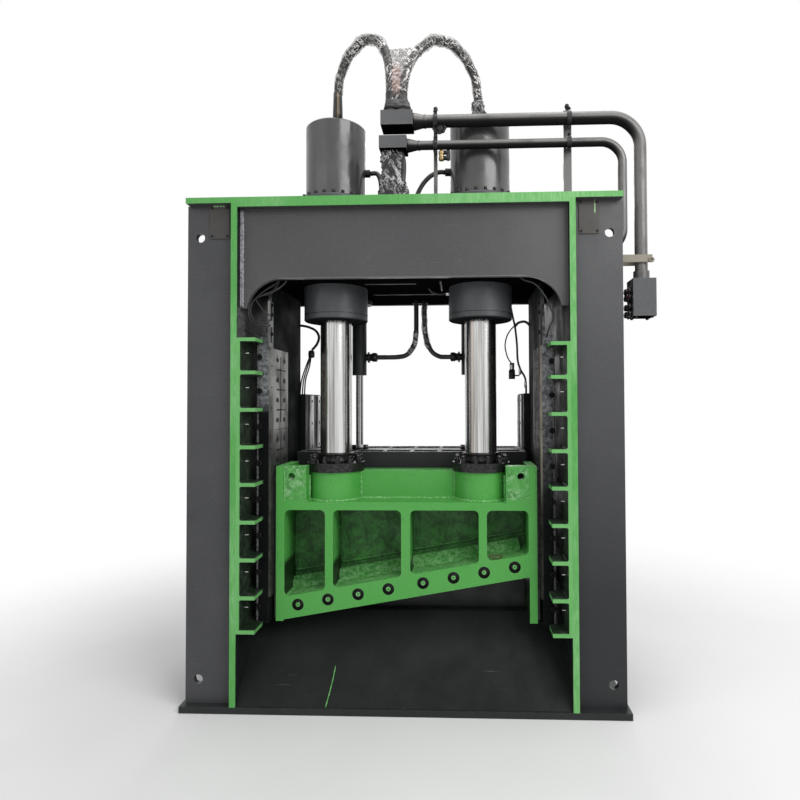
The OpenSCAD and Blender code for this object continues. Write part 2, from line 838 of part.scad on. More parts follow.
module limit_switch_bars() {
    color(steel)
        for (side = [-1, 1])
            on_side(side)
                difference() {
                    block([guide_inner - wear_t, guide_inner],
                          [guide_front_depth - switch_bar_over_depth,
                          guide_front_depth - switch_bar_over_depth + switch_bar_depth],
                          [wear_top_z, wear_top_z + switch_bar_h]);
                    for (share = switch_slot_shares)
                        crosswise(guide_inner - wear_t - cut_over, wear_t + 2 * cut_over)
                            translate([guide_front_depth - switch_bar_over_depth + switch_bar_depth / 2,
                                       wear_top_z + switch_bar_h * share]) {
                                square([switch_slot_w, switch_slot_h - switch_slot_w], center = true);
                                for (end = [-1, 1])
                                    translate([0, end * (switch_slot_h - switch_slot_w) / 2])
                                        circle(d = switch_slot_w);
                            }
                }
}

// Bed, chute and rear walls

module chute_plate() {
    drop = chute_t * sqrt(2);
    color(black)
        crosswise(-throat_half, throat_w)
            polygon([
                [chute_foot_gap, base_t], [bed_step_front, bed_apron_z],
                [bed_step_front, bed_apron_z - drop], [chute_foot_gap + drop, base_t]
            ]);
}

module bed_block() {
    color(black)
        crosswise(-bed_w / 2, bed_w)
            polygon([
                [bed_step_front, base_t], [bed_step_front, bed_apron_z],
                [knife_back + cut_over, bed_apron_z],
                [knife_back + cut_over, lower_edge_z - blade_h],
                [knife_back + blade_t, lower_edge_z - blade_h],
                [knife_back + blade_t, bed_top], [head_depth, bed_top], [head_depth, base_t]
            ]);
}

module floor_liner() {
    color(steel)
        block([-rear_wall_half, rear_wall_half], [knife_back + blade_t, head_depth],
            [bed_top, lower_edge_z]);
}

module rear_side_walls() {
    color(black)
        for (side = [-1, 1])
            on_side(side)
                block([rear_wall_half, rear_wall_half + rear_wall_t], [guide_back, head_depth],
                      [bed_top, rear_wall_top_z]);
}

module lower_blades() {
    color(steel)
        for (side = [-1, 1])
            on_side(side)
                block([0, blade_row_w / 2], [knife_back, knife_back + blade_t],
                      [lower_edge_z - blade_h, lower_edge_z]);
}

// Main cylinders

module main_cylinder(side) {
    bore_low = soffit_z;
    color(charcoal)
        translate([side * cylinder_x, cylinder_y, 0])
            rotate_extrude()
                polygon([
                    [barrel_bore_d / 2, bore_low], [barrel_d / 2, bore_low], [barrel_d / 2, frame_h],
                    [barrel_flange_d / 2, frame_h], [barrel_flange_d / 2, frame_h + barrel_flange_t],
                    [barrel_d / 2, frame_h + barrel_flange_t],
                    [barrel_d / 2, barrel_top - barrel_chamfer],
                    [barrel_d / 2 - barrel_chamfer, barrel_top], [0, barrel_top],
                    [0, barrel_top - barrel_cap_t], [barrel_bore_d / 2, barrel_top - barrel_cap_t]
                ]);
}

module cylinder_flange_bolts() {
    color(bolt_black)
        for (side = [-1, 1])
            translate([side * cylinder_x, cylinder_y, frame_h + barrel_flange_t])
                ring_of(barrel_bolts, barrel_flange_d * barrel_bolt_circle_share)
                    hex_head(barrel_bolt_d, barrel_bolt_head);
}

module gland(side) {
    low = soffit_z - gland_h;
    inner = rod_d / 2 + run_gap;
    outer = gland_d / 2;
    color(charcoal)
        translate([side * cylinder_x, cylinder_y, 0])
            rotate_extrude()
                polygon([
                    [inner, low], [outer - gland_lip_h, low], [outer, low + gland_lip_h],
                    [outer, low + groove_z],
                    [outer - groove_depth, low + groove_z],
                    [outer - groove_depth, low + groove_z + groove_h],
                    [outer, low + groove_z + groove_h], [outer, soffit_z], [inner, soffit_z]
                ]);
}

module cylinder_ports() {
    color(bolt_black)
        for (side = [-1, 1]) {
            translate([side * cylinder_x, cylinder_y, barrel_top])
                cylinder(d = port_boss_d, h = port_boss_h);
            translate([side * (cylinder_x - hose_offset_x), cylinder_y, barrel_top + port_boss_h])
                cylinder(d = ferrule_d, h = ferrule_h);
            on_side(side)
                bar_x(side_port_d, [side_port_x, side_port_x + side_port_len], cylinder_y, side_port_z);
        }
}

module piston_rod(side) {
    piston_low = soffit_z + cut_over;
    color(chrome)
        translate([side * cylinder_x, cylinder_y, 0])
            rotate_extrude()
                polygon([
                    [0, boss_top], [rod_foot_d / 2, boss_top], [rod_foot_d / 2, boss_top + rod_foot_h],
                    [rod_d / 2, boss_top + rod_foot_h], [rod_d / 2, piston_low],
                    [barrel_bore_d / 2 - run_gap, piston_low],
                    [barrel_bore_d / 2 - run_gap, piston_low + piston_h],
                    [0, piston_low + piston_h]
                ]);
}

module rod_flanges() {
    inner = rod_d / 2 + seat_gap;
    foot = rod_foot_d / 2 + seat_gap;
    outer = rod_flange_d / 2;
    top = boss_top + rod_flange_h;
    color(bolt_black)
        for (side = [-1, 1])
            translate([side * cylinder_x, cylinder_y, 0]) {
                rotate_extrude()
                    polygon([
                        [foot, boss_top], [outer, boss_top], [outer, top], [inner, top],
                        [inner, boss_top + rod_foot_h], [foot, boss_top + rod_foot_h]
                    ]);
                translate([0, 0, top])
                    ring_of(rod_flange_bolts, rod_flange_d * rod_flange_circle_share) {
                        hex_head(rod_flange_bolt_d, rod_flange_bolt_h / 2);
                        cylinder(d = rod_flange_bolt_d, h = rod_flange_bolt_h);
                    }
            }
}

// Knife slide

function edge_z(x) = edge_mid_z + x * tan(knife_angle);

// One window outline, given the X of its two sides
module window(x) {
    polygon(rounded([
        [x[0], edge_z(x[0]) + lower_rail_h], [x[1], edge_z(x[1]) + lower_rail_h],
        [x[1], window_top_z], [x[0], window_top_z]
    ], window_r));
}

// Turns a piece to lie along the slanted knife edge, which passes through its origin
module along_edge() {
    translate([0, 0, edge_mid_z])
        rotate([0, -knife_angle, 0])
            translate([0, front_y, 0])
                children();
}

module slide_body() {
    leg_inner = slide_half - slide_leg_t;
    difference() {
        upright(slide_front_depth, slide_depth)
            polygon([
                [-slide_half, slide_leg_z], [-leg_inner, slide_leg_z], [-leg_inner, edge_z(-leg_inner)],
                [leg_inner, edge_z(leg_inner)], [leg_inner, slide_leg_z], [slide_half, slide_leg_z],
                [slide_half, rail_top], [-slide_half, rail_top]
            ]);
        upright(slide_front_depth - cut_over, window_depth + cut_over) {
            window([-outer_window_end, -outer_window_x]);
            window([-inner_window_end, -inner_window_x]);
            window([inner_window_x, inner_window_end]);
            window([outer_window_x, outer_window_end]);
        }
    }
}

// The slanted shelf behind the lower rail, which backs up the knife
module slide_ledge() {
    floor = lower_rail_h * cos(knife_angle);
    ledge_back = slide_back - box_t / 2;
    along_edge()
        rotate([90, 0, 90])
            translate([0, 0, -outer_window_end])
                linear_extrude(2 * outer_window_end)
                    polygon([
                        [slide_front_depth + ledge_foot_depth, floor - ledge_rise],
                        [ledge_back, floor - ledge_rise],
                        [ledge_back, floor + ledge_rise],
                        [slide_front_depth + ledge_foot_depth + ledge_top_depth, floor + ledge_rise],
                        [slide_front_depth + ledge_foot_depth, floor]
                    ]);
}

// The box, bosses and lugs over the upper rail
module slide_top() {
    box_front = slide_front_depth + box_setback_depth;
    block([-lug_inner, lug_inner], [box_front, box_front + box_t], [rail_top, boss_top]);
    block([-lug_inner, lug_inner], [slide_back - box_t, slide_back], [rail_top, boss_top]);
    for (side = [-1, 1]) {
        translate([side * cylinder_x, cylinder_y, rail_top])
            cylinder(r = boss_r, h = boss_h);
        on_side(side) {
            block([lug_outer, slide_half], [slide_front_depth, slide_back], [rail_top, rail_top + lug_h]);
            difference() {
                block([lug_inner, lug_outer], [slide_front_depth, slide_front_depth + lug_t],
                      [rail_top, rail_top + lug_h]);
                translate([lug_outer - lug_w * lug_hole_share,
                    front_y + slide_front_depth + lug_t + cut_over,
                           rail_top + lug_h - lug_hole_drop])
                    rotate([90, 0, 0])
                        cylinder(d = lug_hole_d, h = lug_t + 2 * cut_over);
            }
        }
    }
}

// The place of each blade bolt along the level, from the middle
bolt_places = [
    for (side = [-1, 1], i = [0 : knife_bolts - 1]) side * (first_bolt_x + i * blade_bolt_pitch)
];

module at_blade_bolts() {
    for (x = bolt_places)
        translate([x, front_y + slide_front_depth, edge_z(x) + bolt_rise])
            rotate([-90, 0, 0])
                children();
}

module knife_slide() {
    color(green)
        difference() {
            union() {
                slide_body();
                slide_ledge();
                slide_top();
            }
            along_edge()
                translate([-blade_row_w / 2 - blade_seat_gap, slide_back - blade_t - blade_seat_gap,
                    -blade_h])
                    cube([blade_row_w + 2 * blade_seat_gap, blade_t + blade_seat_gap + cut_over,
                          2 * blade_h + blade_seat_gap]);
            at_blade_bolts() {
                translate([0, 0, -cut_over])
                    cylinder(d = bolt_sink_d, h = bolt_sink_depth + cut_over);
                cylinder(d = blade_bolt_d + 2 * seat_gap, h = slide_depth);
            }
        }
}

module slide_liners() {
    color(bolt_black)
        for (side = [-1, 1])
            on_side(side)
                block([slide_half, slide_half + liner_side_t],
                      [slide_front_depth + liner_front_gap, slide_back - liner_front_gap],
                      [slide_leg_z + liner_front_gap, rail_top + lug_h - liner_front_gap]);
}

module upper_blades() {
    color(steel)
        along_edge()
            for (side = [-1, 1])
                translate([side < 0 ? -blade_row_w / 2 : 0, slide_back - blade_t, 0])
                    cube([blade_row_w / 2, blade_t, blade_h]);
}

module upper_blade_bolts() {
    color(bolt_black)
        at_blade_bolts() {
            translate([0, 0, bolt_sink_depth - bolt_nut_h])
                cylinder(d = bolt_nut_d, h = bolt_nut_h);
            translate([0, 0, bolt_sink_depth - bolt_nut_h - bolt_tip_h / 2])
                cylinder(d = blade_bolt_d,
                    h = slide_depth - blade_t - bolt_sink_depth + bolt_nut_h + bolt_tip_h / 2
                         - blade_seat_gap);
        }
}

// Hold-down clamp

module clamp_beam() {
    pitch = (clamp_w - 2 * clamp_wall_t + clamp_rib_t) / clamp_ribs;
    rows = [
        [clamp_front + clamp_wall_t, clamp_axis_depth - clamp_web_w / 2],
        [clamp_axis_depth + clamp_web_w / 2, clamp_back - clamp_wall_t]
    ];
    color(black)
        difference() {
            block([-clamp_w / 2, clamp_w / 2], [clamp_front, clamp_back], [clamp_bottom, clamp_top]);
            for (row = rows, i = [0 : clamp_ribs - 1]) {
                x = -clamp_w / 2 + clamp_wall_t + i * pitch;
                block([x, x + pitch - clamp_rib_t], row,
                      [clamp_top - clamp_h * clamp_pocket_share, clamp_top + cut_over]);
            }
        }
}

module clamp_pads() {
    pitch = clamp_w / pad_count;
    color(steel)
        for (i = [0 : pad_count - 1])
            block([-clamp_w / 2 + (i + 0.5) * pitch - pad_w / 2,
                -clamp_w / 2 + (i + 0.5) * pitch + pad_w / 2],
                  [clamp_front + clamp_wall_t, clamp_back - clamp_wall_t], [pad_bottom, clamp_bottom]);
}

module clamp_rods() {
    piston_low = clamp_barrel_z + clamp_gland_h;
    color(chrome)
        for (side = [-1, 1])
            translate([side * clamp_x, clamp_axis_y, 0])
                rotate_extrude()
                    polygon([
                        [0, clamp_top], [clamp_foot_d / 2, clamp_top],
                        [clamp_foot_d / 2, clamp_top + clamp_foot_h],
                        [clamp_rod_d / 2, clamp_top + clamp_foot_h],
                        [clamp_rod_d / 2, piston_low + cut_over / 2],
                        [clamp_bore_d / 2 - run_gap, piston_low + cut_over / 2],
                        [clamp_bore_d / 2 - run_gap, piston_low + clamp_piston_h],
                        [0, piston_low + clamp_piston_h]
                    ]);
}

module clamp_cylinder(side) {
    inner = clamp_rod_d / 2 + run_gap;
    bore = clamp_bore_d / 2;
    outer = clamp_barrel_d / 2;
    color(black)
        translate([side * clamp_x, clamp_axis_y, 0])
            rotate_extrude()
                polygon([
                    [inner, clamp_barrel_z], [outer, clamp_barrel_z], [outer, soffit_z - clamp_flange_t],
                    [clamp_flange_d / 2, soffit_z - clamp_flange_t], [clamp_flange_d / 2, soffit_z],
                    [outer, soffit_z], [outer, clamp_head_z], [0, clamp_head_z],
                    [0, clamp_bore_top], [bore, clamp_bore_top], [bore, clamp_barrel_z + clamp_gland_h],
                    [inner, clamp_barrel_z + clamp_gland_h]
                ]);
}

module clamp_ports() {
    color(bolt_black) {
        for (side = [-1, 1])
            on_side(side)
                bar_x(clamp_port_d,
                [clamp_elbow_x, clamp_elbow_x + clamp_port_len], clamp_axis_y, clamp_port_z);
        for (x = [left_inlet_x, right_inlet_x])
            translate([x, clamp_axis_y, soffit_z - clamp_inlet_h])
                cylinder(d = clamp_port_d, h = clamp_inlet_h);
    }
}

// Pipework over the top plate

// A quarter bend in the X and Z plane that turns a level run at the origin down to the right
module quarter_bend(d, r) {
    translate([0, 0, -r])
        rotate([90, 0, 0])
            rotate_extrude(angle = 90)
                translate([r, 0])
                    circle(d = d);
}

module upper_pipe_solid(d) {
    y = front_y + pipe_depth;
    corner_x = upper_down_x - upper_bend_r;
    bar_x(d, [upper_block_x + upper_block_w, corner_x], y, upper_pipe_z);
    translate([corner_x, y, upper_pipe_z])
        quarter_bend(d, upper_bend_r);
    translate([upper_down_x, y, foot_block_top_z + pipe_collar_h])
        cylinder(d = d, h = upper_pipe_z - upper_bend_r - foot_block_top_z - pipe_collar_h);
}

module upper_pipe() {
    color(pipe_grey) {
        upper_pipe_solid(upper_pipe_d);
        translate([upper_down_x, front_y + pipe_depth, foot_block_top_z])
            cylinder(d = pipe_collar_d, h = pipe_collar_h);
    }
}

module lower_pipe() {
    y = front_y + pipe_depth;
    corner_x = lower_down_x - lower_bend_r;
    low_z = bracket_top_z + lower_run_rise + lower_bend_r;
    color(pipe_grey) {
        bar_x(lower_pipe_d, [lower_block_x + lower_block_w, corner_x], y, lower_pipe_z);
        translate([corner_x, y, lower_pipe_z])
            quarter_bend(lower_pipe_d, lower_bend_r);
        translate([lower_down_x, y, low_z])
            cylinder(d = lower_pipe_d, h = lower_pipe_z - lower_bend_r - low_z);
        translate([corner_x, y, low_z])
            mirror([0, 0, 1])
                translate([0, 0, lower_bend_r])
                    quarter_bend(lower_pipe_d, lower_bend_r);
        bar_x(lower_pipe_d, [side_outer, corner_x], y, low_z - lower_bend_r);
    }
}

module pipe_posts() {
    front = pipe_depth + upper_pipe_d / 2 + clamp_band_t;
    color(pipe_grey)
        for (i = [0 : len(post_places) - 1])
            block([post_places[i] - post_widths[i] / 2, post_places[i] + post_widths[i] / 2],
                  [front, front + post_t], [frame_h, upper_pipe_z + upper_pipe_d / 2 + post_over_h]);
}

module pipe_band(x, z, d) {
    y = front_y + pipe_depth;
    post_y = y + upper_pipe_d / 2 + clamp_band_t;
    difference() {
        union() {
            bar_x(d + 2 * clamp_band_t, [x - clamp_band_w / 2, x + clamp_band_w / 2], y, z);
            translate([x - clamp_band_w / 2, y, z - d / 4])
                cube([clamp_band_w, post_y - y, d / 2]);
        }
        bar_x(d + 2 * seat_gap, [x - clamp_band_w, x + clamp_band_w], y, z);
    }
}

module pipe_clamps() {
    color(bolt_black)
        for (x = post_places) {
            pipe_band(x, upper_pipe_z, upper_pipe_d);
            pipe_band(x, lower_pipe_z, lower_pipe_d);
        }
}

module upper_junction_block() {
    front = pipe_depth - junction_depth / 2;
    color(pipe_grey)
        block([upper_block_x, upper_block_x + upper_block_w], [front, front + junction_depth],
              [upper_pipe_z - upper_block_h / 2, upper_pipe_z + upper_block_h / 2]);
    color(bolt_black)
        for (x = [left_hose_x, right_hose_x])
            translate([upper_block_x + x, pipe_y, upper_block_top])
                cylinder(d = ferrule_d, h = hose_end_h);
}

module lower_junction_block() {
    front = pipe_depth - junction_depth / 2;
    color(pipe_grey)
        block([lower_block_x, lower_block_x + lower_block_w], [front, front + junction_depth],
              [lower_pipe_z - lower_block_h / 2, lower_pipe_z + lower_block_h / 2]);
}

module supply_hoses() {
    y = front_y + pipe_depth;
    low = frame_h + bulkhead_t;
    color(rubber)
        for (x = supply_xs)
            translate([x, y, low])
                cylinder(d = supply_hose_d, h = lower_pipe_z - lower_block_h / 2 - low);
    color(pipe_grey)
        translate([supply_xs[0] - supply_hose_d / 2 - bulkhead_margin_w,
                   y - supply_hose_d / 2 - bulkhead_margin_w, frame_h])
            cube([supply_xs[1] - supply_xs[0] + supply_hose_d + 2 * bulkhead_margin_w,
                  supply_hose_d + 2 * bulkhead_margin_w, bulkhead_t]);
}

module pipe_bracket() {
    front = pipe_depth - upper_pipe_d / 2 - bracket_bar_t;
    rear = pipe_depth + upper_pipe_d / 2;
    low = bracket_top_z - bracket_bar_h;
    inner = flange_half - bracket_in_w;
    color(tan_paint) {
        block([inner, upper_down_x + bracket_out_w], [front, front + bracket_bar_t],
            [low, bracket_top_z]);
        block([inner, upper_down_x + bracket_out_w], [rear, rear + bracket_bar_t], [low, bracket_top_z]);
        block([inner, flange_half], [flange_setback_depth + flange_t, front], [low, bracket_top_z]);
        block([inner, flange_half], [front + bracket_bar_t, rear], [low, bracket_top_z]);
    }
}

module pipe_flange_block() {
    front = pipe_depth - junction_depth / 2;
    color(pipe_grey)
        block([upper_down_x - foot_block_w / 2, upper_down_x + foot_block_w / 2],
              [front, front + junction_depth], [foot_block_top_z - foot_block_h, foot_block_top_z]);
}

module flange_block_bolts() {
    face = upper_down_x - foot_block_w / 2;
    color(bolt_black)
        for (share = block_bolt_share_z, row = [-1, 1])
            translate([face, front_y + pipe_depth + row * junction_depth / 4,
                       foot_block_top_z - foot_block_h * (1 - share)])
                rotate([0, -90, 0])
                    hex_head(block_bolt_d / bolt_head_ratio, block_bolt_h);
}

// Hoses

module main_hose(ends, shares) {
    color(rubber)
        tube_along(route_of(ends, hose_rise, shares), hose_d);
}

module drain_hoses() {
    rise = side_port_z - frame_h;
    color(rubber) {
        tube_along(route_of(left_drain_ends, rise, left_drain_shares), drain_hose_d);
        tube_along(route_of(right_drain_ends, rise, right_drain_shares), drain_hose_d);
    }
    color(bolt_black)
        for (x = [left_drain_x, right_drain_x])
            translate([x, cylinder_y - drain_back_depth, frame_h])
                cylinder(d = drain_hose_d * bolt_head_ratio, h = hose_fitting_h);
}

module clamp_hoses() {
    rise = soffit_z - clamp_port_z;
    color(rubber) {
        tube_along(route_of(left_clamp_ends, rise, left_clamp_shares), clamp_hose_d);
        tube_along(route_of(right_clamp_ends, rise, right_clamp_shares), clamp_hose_d);
    }
}

base_plate();
side_plate(-1);  // side_plate_left
side_plate(1);  // side_plate_right
flange(-1, flange_setback_depth, true);  // front_flange_left
flange(1, flange_setback_depth, true);  // front_flange_right
flange(-1, rear_flange_front, true);  // rear_flange_left
flange(1, rear_flange_front, true);  // rear_flange_right
column_stiffeners(-1);  // column_stiffeners_left
column_stiffeners(1);  // column_stiffeners_right
top_plate();
crossbeam_front_plate();
crossbeam_rear_plate();
crossbeam_floor_plate();
crossbeam_ribs();
cover_plates();
ladder(-1, left_pitch);  // ladder_left
ladder(1, right_pitch);  // ladder_right
guide_wall(-1);  // guide_wall_left
guide_wall(1);  // guide_wall_right
wear_plates(-1);  // wear_plates_left
wear_plates(1);  // wear_plates_right
limit_switch_bars();
chute_plate();
bed_block();
floor_liner();
rear_side_walls();
lower_blades();
main_cylinder(-1);  // main_cylinder_left
main_cylinder(1);  // main_cylinder_right
cylinder_flange_bolts();
gland(-1);  // gland_left
gland(1);  // gland_right
cylinder_ports();
clamp_cylinder(-1);  // clamp_cylinder_left
clamp_cylinder(1);  // clamp_cylinder_right
clamp_ports();
upper_pipe();
lower_pipe();
pipe_posts();
pipe_clamps();
upper_junction_block();
lower_junction_block();
pipe_bracket();
pipe_flange_block();
flange_block_bolts();
main_hose(left_hose_ends, left_hose_shares);  // main_hose_left
main_hose(right_hose_ends, right_hose_shares);  // main_hose_right
supply_hoses();
drain_hoses();
clamp_hoses();
knife_slide();
slide_liners();
upper_blades();
upper_blade_bolts();
piston_rod(-1);  // piston_rod_left
piston_rod(1);  // piston_rod_right
rod_flanges();
clamp_beam();
clamp_rods();
clamp_pads();
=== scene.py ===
"""The looks of the gantry shear head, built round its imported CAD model."""

import math
import random

import bmesh
import bpy
from mathutils import Matrix, Vector, noise


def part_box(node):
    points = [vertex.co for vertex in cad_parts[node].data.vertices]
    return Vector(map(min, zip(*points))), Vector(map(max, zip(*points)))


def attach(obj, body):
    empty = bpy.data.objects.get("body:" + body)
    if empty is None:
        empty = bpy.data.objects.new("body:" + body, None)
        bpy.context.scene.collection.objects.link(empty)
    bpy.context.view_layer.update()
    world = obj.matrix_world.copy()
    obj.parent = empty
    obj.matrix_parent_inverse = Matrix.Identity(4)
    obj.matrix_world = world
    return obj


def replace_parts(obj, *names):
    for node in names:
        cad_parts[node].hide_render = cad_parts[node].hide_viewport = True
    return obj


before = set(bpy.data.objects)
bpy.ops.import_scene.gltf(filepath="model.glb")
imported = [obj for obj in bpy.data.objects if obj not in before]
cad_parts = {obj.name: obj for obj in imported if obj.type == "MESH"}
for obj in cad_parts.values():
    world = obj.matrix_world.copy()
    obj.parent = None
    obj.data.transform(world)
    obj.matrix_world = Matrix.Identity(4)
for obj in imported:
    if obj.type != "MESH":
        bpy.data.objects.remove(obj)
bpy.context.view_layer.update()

random.seed(7)


# Node materials


class Look:
    """One material with short ways to add the nodes that vary it."""

    def __init__(self, name, rough=0.5, metal=0.0, **sockets):
        self.material = bpy.data.materials.new(name)
        self.material.use_nodes = True
        self.tree = self.material.node_tree
        self.shader = self.tree.nodes["Principled BSDF"]
        self.shader.inputs["Roughness"].default_value = rough
        self.shader.inputs["Metallic"].default_value = metal
        for key, value in sockets.items():
            self.shader.inputs[key.replace("_", " ")].default_value = value
        self.place = self.node("ShaderNodeTexCoord").outputs["Object"]
        geometry = self.node("ShaderNodeNewGeometry")
        self.normal = geometry.outputs["Normal"]
        parts = self.node("ShaderNodeSeparateXYZ")
        self.put(parts.inputs[0], self.place)
        self.x, self.y, self.z = parts.outputs
        facing = self.node("ShaderNodeSeparateXYZ")
        self.put(facing.inputs[0], self.normal)
        self.nx, self.ny, self.nz = facing.outputs

    def node(self, kind, **props):
        made = self.tree.nodes.new(kind)
        for key, value in props.items():
            setattr(made, key, value)
        return made

    def put(self, socket, value):
        if isinstance(value, bpy.types.NodeSocket):
            self.tree.links.new(value, socket)
        elif isinstance(value, tuple) and socket.type == "RGBA":
            socket.default_value = (*value, 1.0)
        else:
            socket.default_value = value

    def mapped(self, stretch, shift=0.0):
        mapping = self.node("ShaderNodeMapping")
        self.put(mapping.inputs["Vector"], self.place)
        mapping.inputs["Scale"].default_value = stretch
        mapping.inputs["Location"].default_value = (shift, shift * 0.7, shift * 1.3)
        return mapping.outputs[0]

    def vary(self, scale, detail=4.0, stretch=(1, 1, 1), rough=0.55, shift=0.0, warp=0.0):
        """Noise; the shift keeps two layers from matching."""
        tex = self.node("ShaderNodeTexNoise")
        self.put(tex.inputs["Vector"], self.mapped(stretch, shift))
        for key, value in (("Scale", scale), ("Detail", detail), ("Roughness", rough), ("Distortion", warp)):
            tex.inputs[key].default_value = value
        return tex.outputs["Fac"]

    def cells(self, scale):
        tex = self.node("ShaderNodeTexVoronoi")
        self.put(tex.inputs["Vector"], self.mapped((1, 1, 1)))
        tex.inputs["Scale"].default_value = scale
        return tex.outputs["Distance"]

    def span(self, value, low, high, to_low=0.0, to_high=1.0):
        tex = self.node("ShaderNodeMapRange", clamp=True, interpolation_type="SMOOTHSTEP")
        for i, v in enumerate((value, low, high, to_low, to_high)):
            self.put(tex.inputs[i], v)
        return tex.outputs[0]

    def calc(self, operation, a, b=0.0):
        tex = self.node("ShaderNodeMath", operation=operation)
        self.put(tex.inputs[0], a)
        self.put(tex.inputs[1], b)
        return tex.outputs[0]

    def times(self, value, *shares):
        for share in shares:
            value = self.calc("MULTIPLY", value, share)
        return value

    def fall(self, value, low, high):
        """1 below low and 0 above high."""
        return self.span(value, low, high, 1.0, 0.0)

    def mix(self, share, a, b):
        tex = self.node("ShaderNodeMix", data_type="RGBA")
        self.put(tex.inputs[0], share)
        self.put(tex.inputs[6], a)
        self.put(tex.inputs[7], b)
        return tex.outputs[2]

    def edges(self, radius, low=0.02, high=0.25):
        """1 along sharp edges, where the bevelled normal turns away from the true one."""
        bevel = self.node("ShaderNodeBevel", samples=4)
        bevel.inputs["Radius"].default_value = radius
        dot = self.node("ShaderNodeVectorMath", operation="DOT_PRODUCT")
        self.put(dot.inputs[0], bevel.outputs[0])
        self.put(dot.inputs[1], self.normal)
        return self.span(self.calc("SUBTRACT", 1.0, dot.outputs["Value"]), low, high)

    def dull_below(self, level):
        """Gloss that fades out on faces that look down."""
        self.put(self.shader.inputs["Specular IOR Level"], self.span(self.nz, -0.6, 0.0, 0.0, level))

    def finish(self, colour, rough=None, bumps=(), alpha=None):
        self.put(self.shader.inputs["Base Color"], colour)
        if rough is not None:
            self.put(self.shader.inputs["Roughness"], rough)
        if alpha is not None:
            self.put(self.shader.inputs["Alpha"], alpha)
        last = None
        for height, strength, distance in bumps:
            bump = self.node("ShaderNodeBump")
            bump.inputs["Strength"].default_value = strength
            bump.inputs["Distance"].default_value = distance
            self.put(bump.inputs["Height"], height)
            if last is not None:
                self.put(bump.inputs["Normal"], last)
            last = bump.outputs[0]
        if last is not None:
            self.put(self.shader.inputs["Normal"], last)
        return self.material


def painted(name, base, dust, rough=0.45, dust_share=0.35, scratch=0.5, edge_colour=None, edge_w=0.004,
            spec=0.3):
    """Sprayed paint on plate: uneven gloss, dust, fine scratches and worn edges."""
    s = Look(name, rough=rough, Specular_IOR_Level=spec)
    cloud = s.span(s.vary(1.6, 6, shift=3), 0.35, 0.7)
    colour = s.mix(s.times(cloud, dust_share), base, dust)
    speck = s.span(s.vary(180, 2, rough=0.7), 0.62, 0.74)
    colour = s.mix(s.times(speck, 0.35), colour, tuple(min(1, c * 2.2 + 0.03) for c in dust))
    lines = s.span(s.vary(26, 3, stretch=(0.25, 1, 4.5), shift=9, warp=0.6), 0.665, 0.7)
    patch = s.span(s.vary(2.3, 3, shift=5), 0.5, 0.65)
    grit = s.span(s.vary(95, 5, shift=17, rough=0.8), 0.34, 0.68)
    colour = s.mix(s.times(grit, 0.28), colour, tuple(min(1, c * 1.9) for c in base))
    pits = s.span(s.vary(150, 3, shift=23, rough=0.7), 0.64, 0.72)
    colour = s.mix(s.times(pits, 0.4), colour, tuple(c * 0.25 for c in base))
    colour = s.mix(s.times(lines, patch, scratch * 0.3), colour, tuple(min(1, c * 3 + 0.1) for c in dust))
    if edge_colour:
        worn = s.times(s.edges(edge_w), s.span(s.vary(34, 4, shift=2), 0.42, 0.62))
        colour = s.mix(s.times(worn, 0.8), colour, edge_colour)
    roughness = s.span(s.vary(5, 5, shift=1), 0.3, 0.75, rough - 0.12, min(0.95, rough + 0.2))
    peel = s.vary(420, 2)
    return s, colour, roughness, [(peel, 0.10, 0.0006), (s.vary(9, 3, shift=4), 0.12, 0.004)]


def grey(level):
    return (level, level, level)


GREEN = (0.070, 0.335, 0.060)
GREEN_PALE = (0.30, 0.60, 0.27)
DARK = (0.052, 0.053, 0.056)
DARK_DUST = (0.088, 0.088, 0.092)
BLACK = (0.016, 0.0175, 0.018)
BLACK_DUST = (0.034, 0.036, 0.038)

mats = {}

s, c, r, b = painted("charcoal_paint", DARK, DARK_DUST, 0.42, edge_colour=grey(0.30))
right = s.span(s.x, -0.1, 0.1)
# Painted shade low down on the right-hand columns, and a faint painted highlight towards their tops.
c = s.mix(s.times(right, s.span(s.z, 0.6, 2.1, 0.72, 0.0)), c, (0.004, 0.005, 0.006))
c = s.mix(s.times(right, s.span(s.z, 1.6, 3.3, 0.015, 0.07)), c, grey(0.35))
mats["charcoal"] = s.finish(c, r, b)

s, c, r, b = painted("black_paint", BLACK, BLACK_DUST, 0.5, edge_colour=grey(0.16))
mats["black"] = s.finish(c, r, b)

s, c, r, b = painted(
    "crossbeam_paint", (0.066, 0.066, 0.069), (0.10, 0.10, 0.102), 0.42, edge_colour=grey(0.28))
# Painted highlight: a thin light line along the arch's lower rim and along every edge of the plate.
low = s.times(s.fall(s.z, 3.019, 3.024), s.fall(s.calc("ABSOLUTE", s.x), 0.85, 0.9))
rim_highlight = s.calc("MAXIMUM", low, s.edges(0.006))
c = s.mix(s.times(rim_highlight, 0.35), c, grey(0.3))
# Painted light: the plate grows lighter towards its right end.
c = s.mix(s.span(s.x, 0.2, 1.1, 0.0, 0.07), c, grey(0.40))
mats["crossbeam"] = s.finish(c, r, b)


def green_look(name, speckle=0.0):
    s, c, r, b = painted(name, GREEN, (0.13, 0.36, 0.11), 0.4, 0.3, 0.35, (0.36, 0.55, 0.33))
    blot = s.span(s.vary(14, 6, shift=8, rough=0.7), 0.55, 0.72)
    c = s.mix(s.times(blot, 0.35), c, (0.05, 0.25, 0.045))
    if speckle:
        spots = s.span(s.vary(95, 3, shift=6, rough=0.75), 0.56, 0.66)
        c = s.mix(s.times(spots, speckle), c, GREEN_PALE)
        holes = s.span(s.vary(60, 4, shift=12, rough=0.7), 0.6, 0.68)
        c = s.mix(s.times(holes, speckle), c, (0.05, 0.08, 0.05))
    return s, c, r, b


